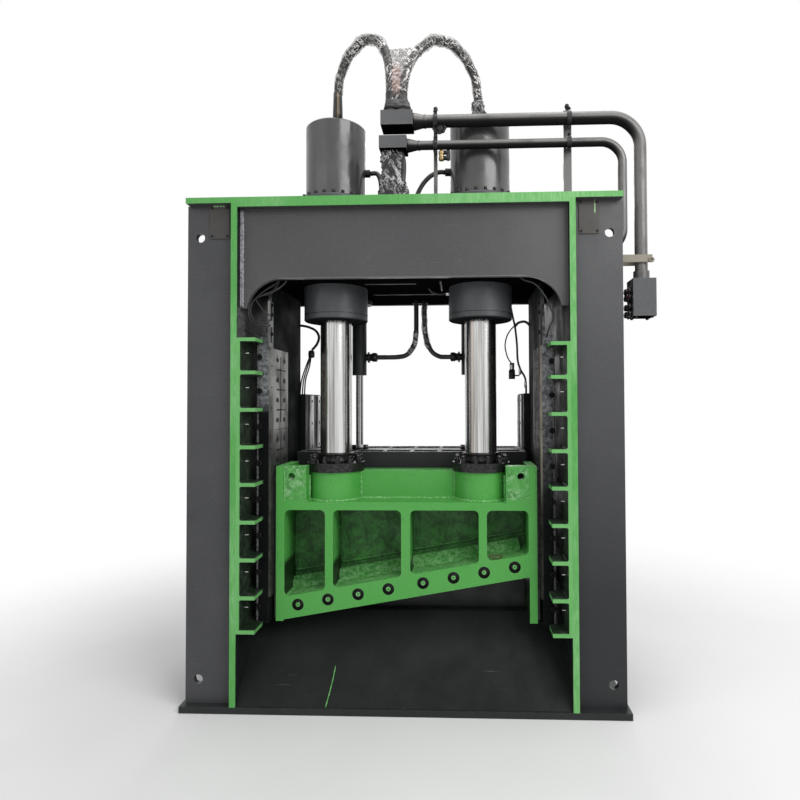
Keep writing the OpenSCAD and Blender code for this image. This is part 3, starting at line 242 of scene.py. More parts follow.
s, c, r, b = green_look("slide_green")
under = s.fall(s.z, 1.352, 1.358)
# Painted shade in the pockets below the rail: a mottled dark green with a few pale specks, deeper towards the
# back.
deep = s.times(s.span(s.y, -0.46, -0.24), under)
mottle = s.span(s.vary(13, 8, rough=0.75, shift=15, warp=0.5), 0.36, 0.68)
pocket_shade = s.mix(mottle, (0.009, 0.040, 0.009), (0.050, 0.215, 0.042))
pocket_shade = s.mix(s.span(s.vary(90, 4, shift=21, rough=0.75), 0.64, 0.74, 0.0, 0.7), pocket_shade, (0.20, 0.42, 0.18))
c = s.mix(s.times(deep, 0.94), c, pocket_shade)
# Painted highlight: the pockets' up-facing shelves are made light, mottled and scaly.
shelf = s.times(s.span(s.nz, 0.35, 0.7), s.span(s.y, -0.50, -0.48), under)
scaly_highlight = s.mix(s.span(s.vary(36, 7, rough=0.78, shift=11, warp=0.6), 0.40, 0.64), (0.050, 0.250, 0.045),
              (0.26, 0.56, 0.23))
c = s.mix(s.times(shelf, 0.9), c, scaly_highlight)
face = s.times(s.fall(s.y, -0.5085, -0.5075), s.span(s.z, 1.425, 1.44))
off = s.calc("ABSOLUTE", s.x)
face = s.times(face, s.times(s.span(off, 0.728, 0.735), s.fall(off, 0.883, 0.89)))
chips = s.mix(s.span(s.vary(34, 7, rough=0.8, shift=31, warp=0.4), 0.42, 0.62), (0.055, 0.24, 0.05),
              (0.33, 0.60, 0.30))
c = s.mix(s.times(face, s.span(s.vary(9, 3, shift=5), 0.38, 0.6, 0.2, 0.95)), c, chips)
# Painted shadow: the low inner side faces of the slide's legs are made near black.
inner = s.times(s.span(s.calc("ABSOLUTE", s.nx), 0.5, 0.8), s.fall(s.z, 0.95, 1.0))
inner = s.times(inner, s.times(s.span(s.y, -0.509, -0.500), s.fall(off, 0.93, 0.94)))
c = s.mix(s.times(inner, 0.95), c, (0.004, 0.007, 0.004))
b.append((s.times(deep, s.vary(30, 6, rough=0.7)), 0.5, 0.012))
b.append((s.times(face, s.vary(60, 5, rough=0.7)), 0.5, 0.006))
mats["slide"] = s.finish(c, r, b)

s, c, r, b = green_look("ladder_green", speckle=0.3)
c = s.mix(s.span(s.vary(1.3, 3, shift=2), 0.4, 0.6, 0.15, 0.45), c, (0.19, 0.50, 0.17))
c = s.mix(0.1, c, (0.45, 0.78, 0.42))
uneven = s.calc("ADD", s.y, s.times(s.vary(20, 3, shift=6), 0.012))
shade = s.span(uneven, -0.742, -0.730)
rough_dark = s.mix(s.span(s.vary(20, 5, shift=3), 0.45, 0.68), (0.010, 0.012, 0.011), (0.045, 0.055, 0.045))
inner = s.times(s.span(s.calc("ABSOLUTE", s.nx), 0.5, 0.8), s.fall(s.calc("ABSOLUTE", s.x), 1.024, 1.030))
inner = s.times(inner, s.fall(s.y, -0.62, -0.57))
c = s.mix(s.times(shade, s.span(inner, 0, 1, 0.96, 0.1)), c, rough_dark)
mats["ladder"] = s.finish(c, r, b)


def edged(name, base, dust, low, high, spec=0.3):
    """Dark paint whose front edge is green, with an uneven line between the two."""
    s, c, r, b = painted(name, base, dust, spec=spec)
    g = s.mix(s.span(s.vary(34, 6, stretch=(2.5, 1, 0.35), shift=6, rough=0.7), 0.34, 0.72),
              (0.135, 0.425, 0.122), (0.245, 0.545, 0.225))
    g = s.mix(s.span(s.vary(1.1, 3, shift=4), 0.42, 0.6, 0.0, 0.6), g, GREEN)
    fray = s.calc("ADD", s.y, s.times(s.vary(24, 4, shift=2), 0.012))
    share = s.fall(fray, low, high)
    return s, s.mix(share, c, g), r, b


s, c, r, b = edged("side_plate_paint", (0.011, 0.012, 0.0125), (0.026, 0.028, 0.029), -0.738, -0.733, 0.12)
patch = s.times(s.span(s.z, 2.590, 2.600), s.fall(s.z, 2.80, 2.83), s.span(s.y, -0.736, -0.732))
patch = s.times(patch, s.times(s.fall(s.y, -0.60, -0.52), s.span(s.x, -0.1, 0.1, 0.9, 0.15)))
c = s.mix(patch, c, s.mix(
    s.span(s.vary(40, 6, rough=0.75, shift=3), 0.38, 0.66), (0.055, 0.055, 0.056), (0.17, 0.17, 0.172)))
mats["side"] = s.finish(c, r, b)
s, c, r, b = edged("top_plate_paint", (0.05, 0.05, 0.052), DARK_DUST, -0.742, -0.737)
mats["top"] = s.finish(c, r, b)

s, c, r, b = painted("guide_paint", (0.005, 0.006, 0.0062), (0.013, 0.014, 0.0145), 0.75, 0.5, 0.4,
                     (0.09, 0.09, 0.088), spec=0.03)
front = s.times(s.fall(s.ny, -0.9, -0.5), s.fall(s.y, -0.52, -0.50))
worn = s.mix(s.span(s.vary(26, 7, rough=0.72, shift=4), 0.38, 0.66), (0.075, 0.078, 0.082),
             (0.31, 0.325, 0.335))
worn = s.mix(s.span(s.vary(120, 3, rough=0.7, shift=2), 0.62, 0.72, 0.0, 0.8), worn, (0.42, 0.43, 0.42))
left = s.times(s.fall(s.x, -0.1, 0.1), s.span(s.z, 2.05, 2.18))
right = s.times(s.span(s.x, -0.1, 0.1), s.span(s.z, 1.3, 2.3, 0.0, 1.0))
c = s.mix(s.times(front, s.calc("ADD", left, right)), c, worn)
mats["guide"] = s.finish(c, r, b)

# Bright hard chrome with upright streaks of oil and wear, and a painted reflection: a brown band down each
# rod
s = Look("chrome", rough=0.16, metal=1.0)
streak = s.vary(46, 5, stretch=(1, 1, 0.012), rough=0.65, shift=2)
fine = s.vary(210, 3, stretch=(1, 1, 0.008), rough=0.6, shift=7)
c = s.mix(s.span(streak, 0.36, 0.62), (0.30, 0.295, 0.285), grey(0.70))
c = s.mix(s.times(s.span(fine, 0.56, 0.7), 0.4), c, (0.33, 0.29, 0.24))
# Painted reflection: a brown band down each rod, a fixed distance left of its axis.
off = s.calc("SUBTRACT", s.x, s.span(s.x, -0.01, 0.01, -0.556, 0.556))
reflection_band = s.times(s.span(off, -0.088, -0.078), s.fall(off, -0.062, -0.050))
c = s.mix(s.times(reflection_band, 0.6), c, (0.36, 0.30, 0.25))
c = s.mix(s.span(s.z, 1.757, 1.763, 0.9, 0.0), c, (0.035, 0.033, 0.03))
mats["chrome"] = s.finish(c, s.span(fine, 0.3, 0.7, 0.10, 0.30), [(fine, 0.06, 0.0006)])

s, c, r, b = painted("barrel_paint", (0.060, 0.060, 0.0595), (0.105, 0.104, 0.102), 0.24, 0.4, 0.35,
                     grey(0.3), 0.003, spec=0.6)
c = s.mix(s.times(s.span(s.vary(7, 4, stretch=(1, 1, 0.25), shift=4), 0.45, 0.7), 0.35), c,
          (0.03, 0.03, 0.0295))
mats["barrel"] = s.finish(c, r, b)

s, c, r, b = painted(
    "gland_paint", (0.058, 0.062, 0.066), (0.10, 0.105, 0.11), 0.40, 0.35, 0.3, grey(0.35), 0.003)
# Painted shade: faces that look down are made near black.
c = s.mix(s.span(s.nz, -0.9, -0.5, 0.85, 0.0), c, grey(0.006))
s.dull_below(0.35)
mats["gland"] = s.finish(c, r, b)

s, c, r, b = painted("pipe_paint", (0.145, 0.140, 0.135), (0.23, 0.22, 0.21), 0.33, 0.5, 0.5,
                     (0.32, 0.30, 0.28), 0.003, spec=0.28)
c = s.mix(s.times(s.span(s.vary(6, 5, shift=14), 0.52, 0.7), 0.55), c, (0.055, 0.052, 0.05))
# Painted shade: the pipes' lower halves are made near black.
c = s.mix(s.span(s.nz, -0.30, 0.10, 0.95, 0.0), c, grey(0.008))
s.dull_below(0.5)
mats["pipe"] = s.finish(c, r, b)

s, c, r, b = painted(
    "block_paint", (0.105, 0.107, 0.11), (0.145, 0.145, 0.147), 0.6, 0.4, 0.3, grey(0.4), 0.004, spec=0.1)
# Painted shade: faces that look down are made near black.
c = s.mix(s.fall(s.nz, -0.9, -0.5), c, grey(0.003))
s.dull_below(0.1)
mats["block"] = s.finish(c, r, b)

s, c, r, b = painted(
    "bracket_paint", (0.235, 0.215, 0.17), (0.34, 0.32, 0.27), 0.6, 0.5, 0.5, grey(0.1), 0.004)
mats["bracket"] = s.finish(c, r, b)

s, c, r, b = painted(
    "cover_paint", (0.054, 0.050, 0.046), (0.082, 0.076, 0.068), 0.4, 0.5, 0.3, (0.25, 0.25, 0.24), 0.003)
top_smear = s.times(s.span(s.z, 3.526, 3.532), s.fall(s.x, -1.268, -1.262), s.span(s.x, -1.352, -1.345))
side_smear = s.times(s.span(s.x, 1.334, 1.337), s.fall(s.x, 1.342, 1.345), s.span(s.z, 3.44, 3.46))
smears = s.times(s.calc("MAXIMUM", top_smear, side_smear), s.span(s.vary(60, 4, shift=3), 0.36, 0.52))
c = s.mix(smears, c, (0.36, 0.62, 0.30))
mats["cover"] = s.finish(c, r, b)

# Ground steel with the smears of grease that a guide carries
s = Look("ground_steel", rough=0.38, metal=0.85)
smear = s.span(s.vary(5, 6, stretch=(1, 1, 0.35), rough=0.6, shift=3, warp=0.5), 0.4, 0.68)
c = s.mix(smear, (0.36, 0.36, 0.355), (0.13, 0.13, 0.125))
spots = s.span(s.vary(48, 4, rough=0.8, shift=9), 0.6, 0.7)
c = s.mix(s.times(spots, 0.6), c, (0.05, 0.048, 0.045))
fine = s.vary(320, 2, stretch=(1, 1, 0.05))
mats["steel"] = s.finish(c, s.span(smear, 0, 1, 0.3, 0.6), [(fine, 0.1, 0.0005)])

s = Look("wear_plate_steel", rough=0.5, metal=0.35)
smear = s.span(s.vary(7, 6, stretch=(1, 1, 0.4), rough=0.65, shift=3, warp=0.5), 0.36, 0.66)
c = s.mix(smear, (0.235, 0.235, 0.225), (0.085, 0.085, 0.08))
c = s.mix(s.span(s.vary(110, 4, rough=0.8, shift=9), 0.58, 0.7, 0.0, 0.7), c, (0.03, 0.028, 0.026))
# The right-hand plates, and the left ones below 1.9 m, are made near black; the right ones also lose their
# metal and most of their gloss.
near_black = s.mix(s.span(s.vary(18, 6, shift=13, rough=0.7), 0.45, 0.7), (0.006, 0.0055, 0.005),
               (0.045, 0.042, 0.036))
right = s.span(s.x, -0.1, 0.1)
low = s.fall(s.z, 1.90, 1.96)
c = s.mix(s.times(s.calc("MAXIMUM", right, low), 0.9), c, near_black)
lip = s.times(right, s.span(s.z, 1.3, 1.8), s.fall(s.y, -0.566, -0.562))
lip = s.times(lip, s.fall(s.z, 2.535, 2.545))
c = s.mix(s.times(lip, 0.8), c, (0.30, 0.27, 0.22))
s.put(s.shader.inputs["Metallic"], s.span(right, 0, 1, 0.35, 0.0))
s.put(s.shader.inputs["Specular IOR Level"], s.span(right, 0, 1, 0.5, 0.05))
mats["wear"] = s.finish(c, s.span(smear, 0, 1, 0.4, 0.65), [(s.vary(200, 3), 0.15, 0.0008)])

s = Look("blackened_steel", rough=0.4, metal=0.6)
c = s.mix(s.span(s.vary(60, 3), 0.4, 0.65), (0.014, 0.014, 0.0145), (0.040, 0.039, 0.038))
c = s.mix(s.times(s.edges(0.0015), 0.35), c, grey(0.22))
mats["bolt"] = s.finish(c, None, [(s.vary(300, 2), 0.1, 0.0005)])

s = Look("hose_rubber", rough=0.48)
weave = s.cells(260)
c = s.mix(s.span(s.vary(20, 4), 0.4, 0.7), grey(0.012), (0.035, 0.034, 0.032))
mats["rubber"] = s.finish(c, s.span(s.vary(12, 4, shift=3), 0.3, 0.7, 0.3, 0.6), [(weave, 0.2, 0.001)])

s, c, r, b = painted(
    "chute_paint", (0.011, 0.0125, 0.0125), (0.026, 0.028, 0.028), 0.55, 0.6, 0.8, None, spec=0.12)
mats["chute"] = s.finish(c, r, b)

# The crossbeam's underside is near black: black paint, darkened further as painted shade under the crossbeam.
s, c, r, b = painted(
    "soffit_shaded_paint", (0.003, 0.003, 0.0034), (0.007, 0.007, 0.0075), 0.8, 0.4, 0.2, None, spec=0.0)
mats["soffit"] = s.finish(c, r, b)


# Crinkled clear film: thin folds with painted glints along them, with the dark hose seen between them
def film_look(name, scale, lean, base, high, clear, rough=0.14):
    s = Look(name, rough=rough)
    turned_place = s.node("ShaderNodeMapping")
    s.put(turned_place.inputs["Vector"], s.place)
    turned_place.inputs["Rotation"].default_value = (0.3, lean, 0.0)
    s.place = turned_place.outputs[0]
    fold = s.vary(scale, 2, stretch=(1, 1, 0.26), rough=0.5, warp=0.35, shift=5)
    ridge = s.fall(s.calc("ABSOLUTE", s.calc("SUBTRACT", fold, 0.5)), 0.008, 0.045)
    second = s.vary(scale * 0.6, 2, stretch=(0.4, 1, 0.8), rough=0.5, warp=0.6, shift=2)
    cross = s.fall(s.calc("ABSOLUTE", s.calc("SUBTRACT", second, 0.54)), 0.004, 0.024)
    # Painted glints: the thin fold lines are painted near white as highlights, and they also make the film
    # more opaque.
    glint = s.calc("MAXIMUM", ridge, s.times(cross, 0.8))
    cloud = s.span(s.vary(9, 4, shift=12), 0.4, 0.65)
    glint = s.times(glint, s.span(cloud, 0, 1, 0.45, 1.0))
    cover = s.calc("ADD", s.times(glint, 0.85), clear)
    return s, s.mix(glint, base, high), glint, cover, [(fold, 0.8, 0.010), (second, 0.6, 0.012)]


s, c, _, a, b = film_look("wrap_film", 30, 0.7, (0.10, 0.095, 0.09), (0.88, 0.87, 0.85), 0.30)
mats["film"] = s.finish(c, None, b, a)

s, c, glint, a, b = film_look("web_film", 30, -0.6, (0.13, 0.12, 0.115), (0.86, 0.84, 0.82), 0.42)
pink = s.times(s.fall(s.calc("ABSOLUTE", s.calc("ADD", s.x, 0.052)), 0.022, 0.040), s.span(s.z, 4.34, 4.40))
pink = s.times(pink, s.fall(s.z, 4.56, 4.66))
c = s.mix(s.times(pink, 0.6), c, s.mix(glint, (0.36, 0.22, 0.19), (0.80, 0.62, 0.57)))
a = s.calc("MAXIMUM", a, s.times(pink, 0.9))
mats["web"] = s.finish(c, None, b, a)

s, c, glint, _, b = film_look("black_film", 26, 0.5, (0.012, 0.012, 0.013), (0.50, 0.50, 0.49), 0.0, 0.18)
# More painted glint: the fold lines are lightened further towards grey.
c = s.mix(s.times(glint, 0.4), c, grey(0.5))
mats["black_film"] = s.finish(c, None, b)

s = Look("wrap_tape", rough=0.55)
c = s.mix(s.span(s.vary(24, 5, shift=4), 0.4, 0.65), (0.035, 0.035, 0.036), grey(0.095))
mats["tape"] = s.finish(c, None, [(s.vary(45, 4, stretch=(1, 1, 3)), 0.6, 0.004)])

s = Look("bare_hose", rough=0.35)
stripe = s.times(s.span(s.x, -0.5435, -0.5405), s.fall(s.x, -0.5345, -0.5315))
stripe = s.times(stripe, s.span(s.vary(60, 4, stretch=(1, 1, 0.3)), 0.36, 0.52))
c = s.mix(s.times(stripe, 0.9), s.mix(s.span(s.vary(40, 3), 0.4, 0.7), grey(0.008), (0.022, 0.02, 0.018)),
          (0.32, 0.20, 0.11))
mats["bare_hose"] = s.finish(c, None, [(s.vary(180, 3), 0.15, 0.001)])

# Small looks: noise between two colours, then the scale and strength of the bump
for key, name, rough, metal, gloss, scale, detail, first, second, bump, strength in (
        ("collar", "blade_bolt_black", 0.6, 0.0, 0.15, 70, 3, grey(0.004), grey(0.011), 150, 0.1),
        ("brass", "brass", 0.3, 0.9, 0.5, 30, 4, (0.42, 0.30, 0.14), (0.20, 0.15, 0.09), 90, 0.1),
        ("plated", "plated_fitting", 0.22, 0.95, 0.5, 30, 4, (0.72, 0.71, 0.69), (0.38, 0.37, 0.35), 90,
         0.08),
        ("red", "red_cap", 0.45, 0.0, 0.5, 80, 3, (0.42, 0.02, 0.02), (0.22, 0.015, 0.015), 90, 0.1),
        ("dull_red", "dull_red", 0.6, 0.0, 0.5, 60, 3, (0.10, 0.022, 0.02), (0.035, 0.012, 0.01), 90, 0.1)):
    s = Look(name, rough=rough, metal=metal, Specular_IOR_Level=gloss)
    c = s.mix(s.span(s.vary(scale, detail), 0.4, 0.7), first, second)
    mats[key] = s.finish(c, None, [(s.vary(bump, 3), strength, 0.001)])

s, c, r, b = green_look("weld_green")
c = s.mix(s.span(s.vary(60, 5, rough=0.75), 0.44, 0.66), c, (0.31, 0.59, 0.28))
mats["weld_green"] = s.finish(c, r, b + [(s.vary(110, 3), 0.6, 0.004)])

for name, rough, scale, detail, low, first, second in (
        ("weld_grey", 0.6, 85, 4, 0.4, grey(0.030), (0.13, 0.13, 0.128)),
        ("weld_light", 0.5, 70, 5, 0.36, (0.15, 0.145, 0.17), (0.40, 0.395, 0.42))):
    s = Look(name, rough=rough)
    c = s.mix(s.span(s.vary(scale, detail, rough=0.75), low, 0.62), first, second)
    mats[name] = s.finish(c, None, [(s.vary(110, 3), 0.7, 0.004)])

NODE_LOOKS = {
    "charcoal": ["front_flange_left", "front_flange_right", "rear_flange_left", "rear_flange_right"],
    "soffit": ["crossbeam_floor_plate"],
    "black": ["base_plate", "column_stiffeners_left", "column_stiffeners_right", "crossbeam_ribs",
              "bed_block",
              "crossbeam_rear_plate", "clamp_cylinder_left", "clamp_cylinder_right", "clamp_beam"],
    "crossbeam": ["crossbeam_front_plate"],
    "side": ["side_plate_left", "side_plate_right"],
    "top": ["top_plate"],
    "slide": ["knife_slide"],
    "ladder": ["ladder_left", "ladder_right"],
    "guide": ["guide_wall_left", "guide_wall_right"],
    "wear": ["wear_plates_left", "wear_plates_right", "limit_switch_bars"],
    "steel": ["floor_liner", "lower_blades", "upper_blades", "clamp_pads"],
    "chrome": ["piston_rod_left", "piston_rod_right", "clamp_rods"],
    "barrel": ["main_cylinder_left", "main_cylinder_right"],
    "gland": ["gland_left", "gland_right"],
    "pipe": ["upper_pipe", "lower_pipe", "pipe_posts"],
    "block": ["upper_junction_block", "lower_junction_block", "pipe_flange_block"],
    "bracket": ["pipe_bracket"],
    "cover": ["cover_plates"],
    "chute": ["chute_plate", "rear_side_walls"],
    "bolt": ["cylinder_flange_bolts", "cylinder_ports", "clamp_ports", "pipe_clamps", "flange_block_bolts",
             "slide_liners", "upper_blade_bolts", "rod_flanges"],
    "rubber": ["main_hose_left", "main_hose_right", "supply_hoses", "drain_hoses", "clamp_hoses"],
}
for key, names in NODE_LOOKS.items():
    for name in names:
        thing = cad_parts[name]
        for i in range(max(1, len(thing.data.materials))):
            if i < len(thing.data.materials):
                thing.data.materials[i] = mats[key]
            else:
                thing.data.materials.append(mats[key])


# Pieces


def piece(name, shape, look, body="frame"):
    """An object from vertices and faces, with outward normals, on its body and slot."""
    mesh = bpy.data.meshes.new(name)
    mesh.from_pydata([tuple(v) for v in shape[0]], [], shape[1])
    mesh.validate()
    shell = bmesh.new()
    shell.from_mesh(mesh)
    bmesh.ops.recalc_face_normals(shell, faces=shell.faces)
    shell.to_mesh(mesh)
    shell.free()
    mesh.materials.append(mats[look])
    for polygon in mesh.polygons:
        polygon.use_smooth = True
    made = bpy.data.objects.new(name, mesh)
    bpy.context.collection.objects.link(made)
    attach(made, body)
    return made


def fitting(name, parts, look):
    return piece(name, joined(parts), look)


def smooth_route(points, step):
    """Points every step metres along a Catmull-Rom curve through the given ones."""
    p = [Vector(q) for q in points]
    p = [p[0] * 2 - p[1]] + p + [p[-1] * 2 - p[-2]]
    dense = []
    for i in range(1, len(p) - 2):
        for k in range(24):
            t = k / 24
            a, b, c, d = p[i - 1:i + 3]
            dense.append(0.5 * (
                2 * b + (c - a) * t + (2 * a - 5 * b + 4 * c - d) * t * t + (3 * b - a - 3 * c + d) * t ** 3))
    dense.append(p[-2])
    out, gone = [dense[0]], 0.0
    for a, b in zip(dense, dense[1:]):
        gone += (b - a).length
        if gone >= step:
            out.append(b)
            gone = 0.0
    if (out[-1] - dense[-1]).length > step * 0.3:
        out.append(dense[-1])
    return out


def frames(path):
    """A pair of cross axes for each point of a path, carried along without twist."""
    ways = [(path[min(i + 1, len(path) - 1)] - path[max(i - 1, 0)]).normalized() for i in range(len(path))]
    u = ways[0].orthogonal().normalized()
    out = []
    for way in ways:
        u = (u - way * u.dot(way)).normalized()
        out.append((u.copy(), way.cross(u)))
    return out


def tube_faces(rings, sides, ring=False):
    """Faces between rings of points, with end discs or closed on itself."""
    faces = []
    for i in range(rings if ring else rings - 1):
        up = (i + 1) % rings * sides - i * sides
        for k in range(sides):
            a, b = i * sides + k, i * sides + (k + 1) % sides
            faces.append((a, b, b + up, a + up))
    if not ring:
        faces.append(tuple(range(sides - 1, -1, -1)))
        faces.append(tuple((rings - 1) * sides + k for k in range(sides)))
    return faces


def sweep(path, radius, sides=16):
    """A tube along a path; radius is a number or a function of ring, angle and place."""
    verts = []
    for i, (p, (u, w)) in enumerate(zip(path, frames(path))):
        for k in range(sides):
            t = 2 * math.pi * k / sides
            r = radius(i, t, p) if callable(radius) else radius
            verts.append(p + (u * math.cos(t) + w * math.sin(t)) * r)
    return verts, tube_faces(len(path), sides)


def joined(parts):
    verts, faces = [], []
    for v, f in parts:
        base = len(verts)
        verts += list(v)
        faces += [tuple(base + i for i in face) for face in f]
    return verts, faces


def turned(profile, sides, centre, axis="z", ring=False):
    """A body turned round an axis from (radius, height) pairs; a ring keeps its hole."""
    verts, c = [], Vector(centre)
    spin = {"z": Matrix.Identity(3), "x": Matrix.Rotation(math.pi / 2, 3, "Y"),
            "y": Matrix.Rotation(-math.pi / 2, 3, "X")}[axis]
    for r, h in profile:
        for k in range(sides):
            t = 2 * math.pi * (k + 0.5) / sides
            verts.append(c + spin @ Vector((r * math.cos(t), r * math.sin(t), h)))
    return verts, tube_faces(len(profile), sides, ring)


def circle(centre, rx, ry, rz, count):
    """A closed loop of count steps: cosine along X, sine along Y and Z."""
    c = Vector(centre)
    return [c + Vector((rx * math.cos(t), ry * math.sin(t), rz * math.sin(t)))
            for t in [2 * math.pi * k / count for k in range(count + 1)]]


def slab(x0, x1, y0, y1, z0, z1, cut):
    """A level plate with cut corners and bevelled rims."""
    verts = []
    for z, inset in ((z0, cut * 0.4), (z0 + cut * 0.4, 0), (z1 - cut * 0.4, 0), (z1, cut * 0.4)):
        a, b, c, d = x0 + inset, x1 - inset, y0 + inset, y1 - inset
        verts += [Vector((x, y, z)) for x, y in (
            (a + cut, c), (b - cut, c), (b, c + cut), (b, d - cut), (b - cut, d), (a + cut, d), (a, d - cut),
            (a, c + cut))]
    faces = [(i * 8 + k, i * 8 + (k + 1) % 8, i * 8 + 8 + (k + 1) % 8, i * 8 + 8 + k) for i in range(3)
             for k in range(8)]
    return verts, faces + [tuple(range(7, -1, -1)), tuple(range(24, 32))]


def hex_screw(centre, d, h, axis="z", flip=1):
    """A chamfered hexagon head on a round washer; flip -1 turns it over."""
    head = turned([(d * 1.05, 0), (d * 1.05, h * 0.22 * flip)], 20, centre, axis)
    nut = turned([(d * 0.85, h * 0.22 * flip), (d * 0.85, h * 0.86 * flip), (d * 0.72, h * flip)], 6, centre,
                 axis)
    return joined([head, nut])


def cap_screw(centre, d, h, axis="z", flip=1):
    """A round socket head with a chamfer and a sunk middle."""
    return turned([(d * 0.5, 0), (d * 0.5, h * 0.85 * flip), (d * 0.44, h * flip), (d * 0.27, h * flip),
                   (d * 0.25, h * 0.45 * flip)], 18, centre, axis)


def weld(path, radius, step=0.008, seed=0.0):
    """A rough bead along a path, with the scallops of each pass."""
    if len(path) > 2:
        p = smooth_route(path, step)
    else:
        a, b = Vector(path[0]), Vector(path[1])
        count = max(2, int((b - a).length / step))
        p = [a.lerp(b, i / count) for i in range(count + 1)]

    def r(i, t, q):
        lump = noise.noise(q * 60 + Vector((seed, 0, 0))) * 0.35
        return radius * (0.9 + lump + 0.14 * math.sin(i * 1.9))
    return sweep(p, r, 8)


# Where the main parts of the CAD model are, in metres
FRONT = -0.75
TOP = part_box("top_plate")[1][2]
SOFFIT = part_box("crossbeam_floor_plate")[0][2]
CYL_X, CYL_Y = 0.556, -0.28
HOSE_X, HOSE_Z = 0.545, 4.419
BLOCK_HOSE_X, BLOCK_HOSE_Z, HOSE_RISE = (-0.095, -0.012), 4.265, 0.5
RAIL_Z = 1.412
PIPE_Y = -0.565
UPPER_Z, UPPER_R = 4.175, 0.0445
LOWER_Z, LOWER_R = 4.0, 0.032
POST_X = (0.228, 1.188)
BLOCK_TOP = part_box("upper_junction_block")[1][2]
CLAMP_HOSE_Y, CLAMP_PORT_Z = 0.25, 2.530
WEAR_X, WEAR_TOP, WEAR_PITCH, WEAR_H = 0.970, 2.538, 0.600, 0.597
KNIFE_Z, KNIFE_SLOPE = 0.720, math.tan(math.radians(10.1))
LADDER_Z = {-1: (0.557, 0.790, 1.050, 1.310, 1.570, 1.830, 2.090, 2.350, 2.581),
            1: (0.557, 0.790, 1.043, 1.296, 1.549, 1.802, 2.055, 2.308, 2.539)}


def depth(d):
    """The Y of a depth behind the front plane."""
    return FRONT + d


def both(make):
    """The same piece on both sides, from its right-hand vertices and faces."""
    verts, faces = make
    other = [Vector((-v[0], v[1], v[2])) for v in verts]
    return joined([(verts, faces), (other, [tuple(reversed(f)) for f in faces])])


# Main hoses, from the tables of the CAD source
def hose_points(a, b, rise, shares):
    return [Vector((a[0] + (b[0] - a[0]) * s, a[1] + (b[1] - a[1]) * t, a[2] + (b[2] - a[2]) * s + rise * h))
            for s, t, h in shares]


LEFT_SHARES = [(0, 0, 0), (0, 0, 0.162), (0.011, 0.007, 0.345), (0.051, 0.028, 0.538), (0.127, 0.07, 0.731),
               (0.244, 0.147, 0.913), (0.384, 0.246, 1.056), (0.527, 0.344, 1.132), (0.664, 0.442, 1.147),
               (0.789, 0.54, 1.081), (0.878, 0.667, 0.952), (0.94, 0.779, 0.782), (0.978, 0.884, 0.593),
               (0.996, 0.954, 0.389), (1, 1, 0.19), (1, 1, 0)]
RIGHT_SHARES = [(0, 0, 0), (0, 0, 0.142), (0.016, 0.014, 0.327), (0.059, 0.042, 0.52),
                (0.138, 0.091, 0.715), (0.246, 0.168, 0.894), (0.375, 0.26, 1.022), (0.508, 0.358, 1.086),
                (0.63, 0.456, 1.08), (0.738, 0.554, 1.001), (0.831, 0.681, 0.87), (0.907, 0.786, 0.709),
                (0.961, 0.884, 0.538), (0.989, 0.954, 0.357), (1, 1, 0.17), (1, 1, 0)]
main_paths = []
for name, side, x, shares in (("main_hose_left", -1, BLOCK_HOSE_X[0], LEFT_SHARES),
                              ("main_hose_right", 1, BLOCK_HOSE_X[1], RIGHT_SHARES)):
    ends = (side * HOSE_X, CYL_Y, HOSE_Z), (x, PIPE_Y, BLOCK_HOSE_Z)
    path = smooth_route(hose_points(*ends, HOSE_RISE, shares), 0.012)
    skin = piece(name + "_rubber", sweep(path, 0.031, 20), "rubber")
    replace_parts(skin, name)
    main_paths.append(path)
left_path, right_path = main_paths


def crinkle(radius, seed, amount=0.16, pinch=0.0):
    """Radius of film wound round a hose, fuller at its top, with folds across and along it."""
    def r(i, t, p):
        q = Vector((math.cos(t) * 1.2, math.sin(t) * 1.2, i * 0.22 + seed))
        fold = noise.noise(q * 1.6) * 0.7 + noise.noise(q * 4.1) * 0.5
        spiral = math.sin(t + i * 0.55 + seed) * pinch
        full = 1.0 + 0.20 * min(1.0, max(0.0, (p.z - 4.70) / 0.16))
        return radius * full * (1.0 + amount * (abs(fold) - 0.1) + spiral * 0.1)
    return r


def between_heights(path, low, high, half=None):
    """The stretch of a path on one side of its top between two heights."""
    top = max(range(len(path)), key=lambda i: path[i].z)
    part = path[:top + 1] if half == "start" else path[top:] if half == "end" else path
    return [p for p in part if low <= p.z <= high]


film_left = between_heights(left_path, 4.535, 9, "start") + between_heights(left_path, 4.76, 9, "end")[1:]
film_right = between_heights(right_path, 4.47, 9, "start") + between_heights(right_path, 4.74, 9, "end")[1:]
piece("film_left", sweep(film_left, crinkle(0.0355, 1.0, 0.2, 1.0), 22), "film")
piece("film_right", sweep(film_right, crinkle(0.0355, 9.0, 0.2, 1.0), 22), "film")


def band(name, rows, look, seed, crease=0.006, sides=44):
    """A wrap of film round things side by side: rows of (z, x0, x1, y, half depth)."""
    verts = []
    for i, (z, x0, x1, y, hd) in enumerate(rows):
        mid, half = (x0 + x1) / 2, (x1 - x0) / 2
        for k in range(sides):
            t = 2 * math.pi * k / sides
            cx, sy = math.cos(t), math.sin(t)
            flat = max(abs(cx), abs(sy)) ** 0.5
            q = Vector((cx * 2.2, sy * 2.2, i * 0.33 + seed))
            out = crease * (noise.noise(q * 1.5) + 0.8 * noise.noise(q * 4.3) + 0.5 * noise.noise(q * 9))
            verts.append(Vector((mid + cx * (half / flat * 0.97 + out),
                                 y + sy * (hd / flat * 0.97 + out), z + 0.5 * out)))
    piece(name, (verts, tube_faces(len(rows), sides)), look)


def hose_x_at(path, z):
    part = path[max(range(len(path)), key=lambda i: path[i].z):]
    p = min(part, key=lambda q: abs(q.z - z))
    return p.x, p.y


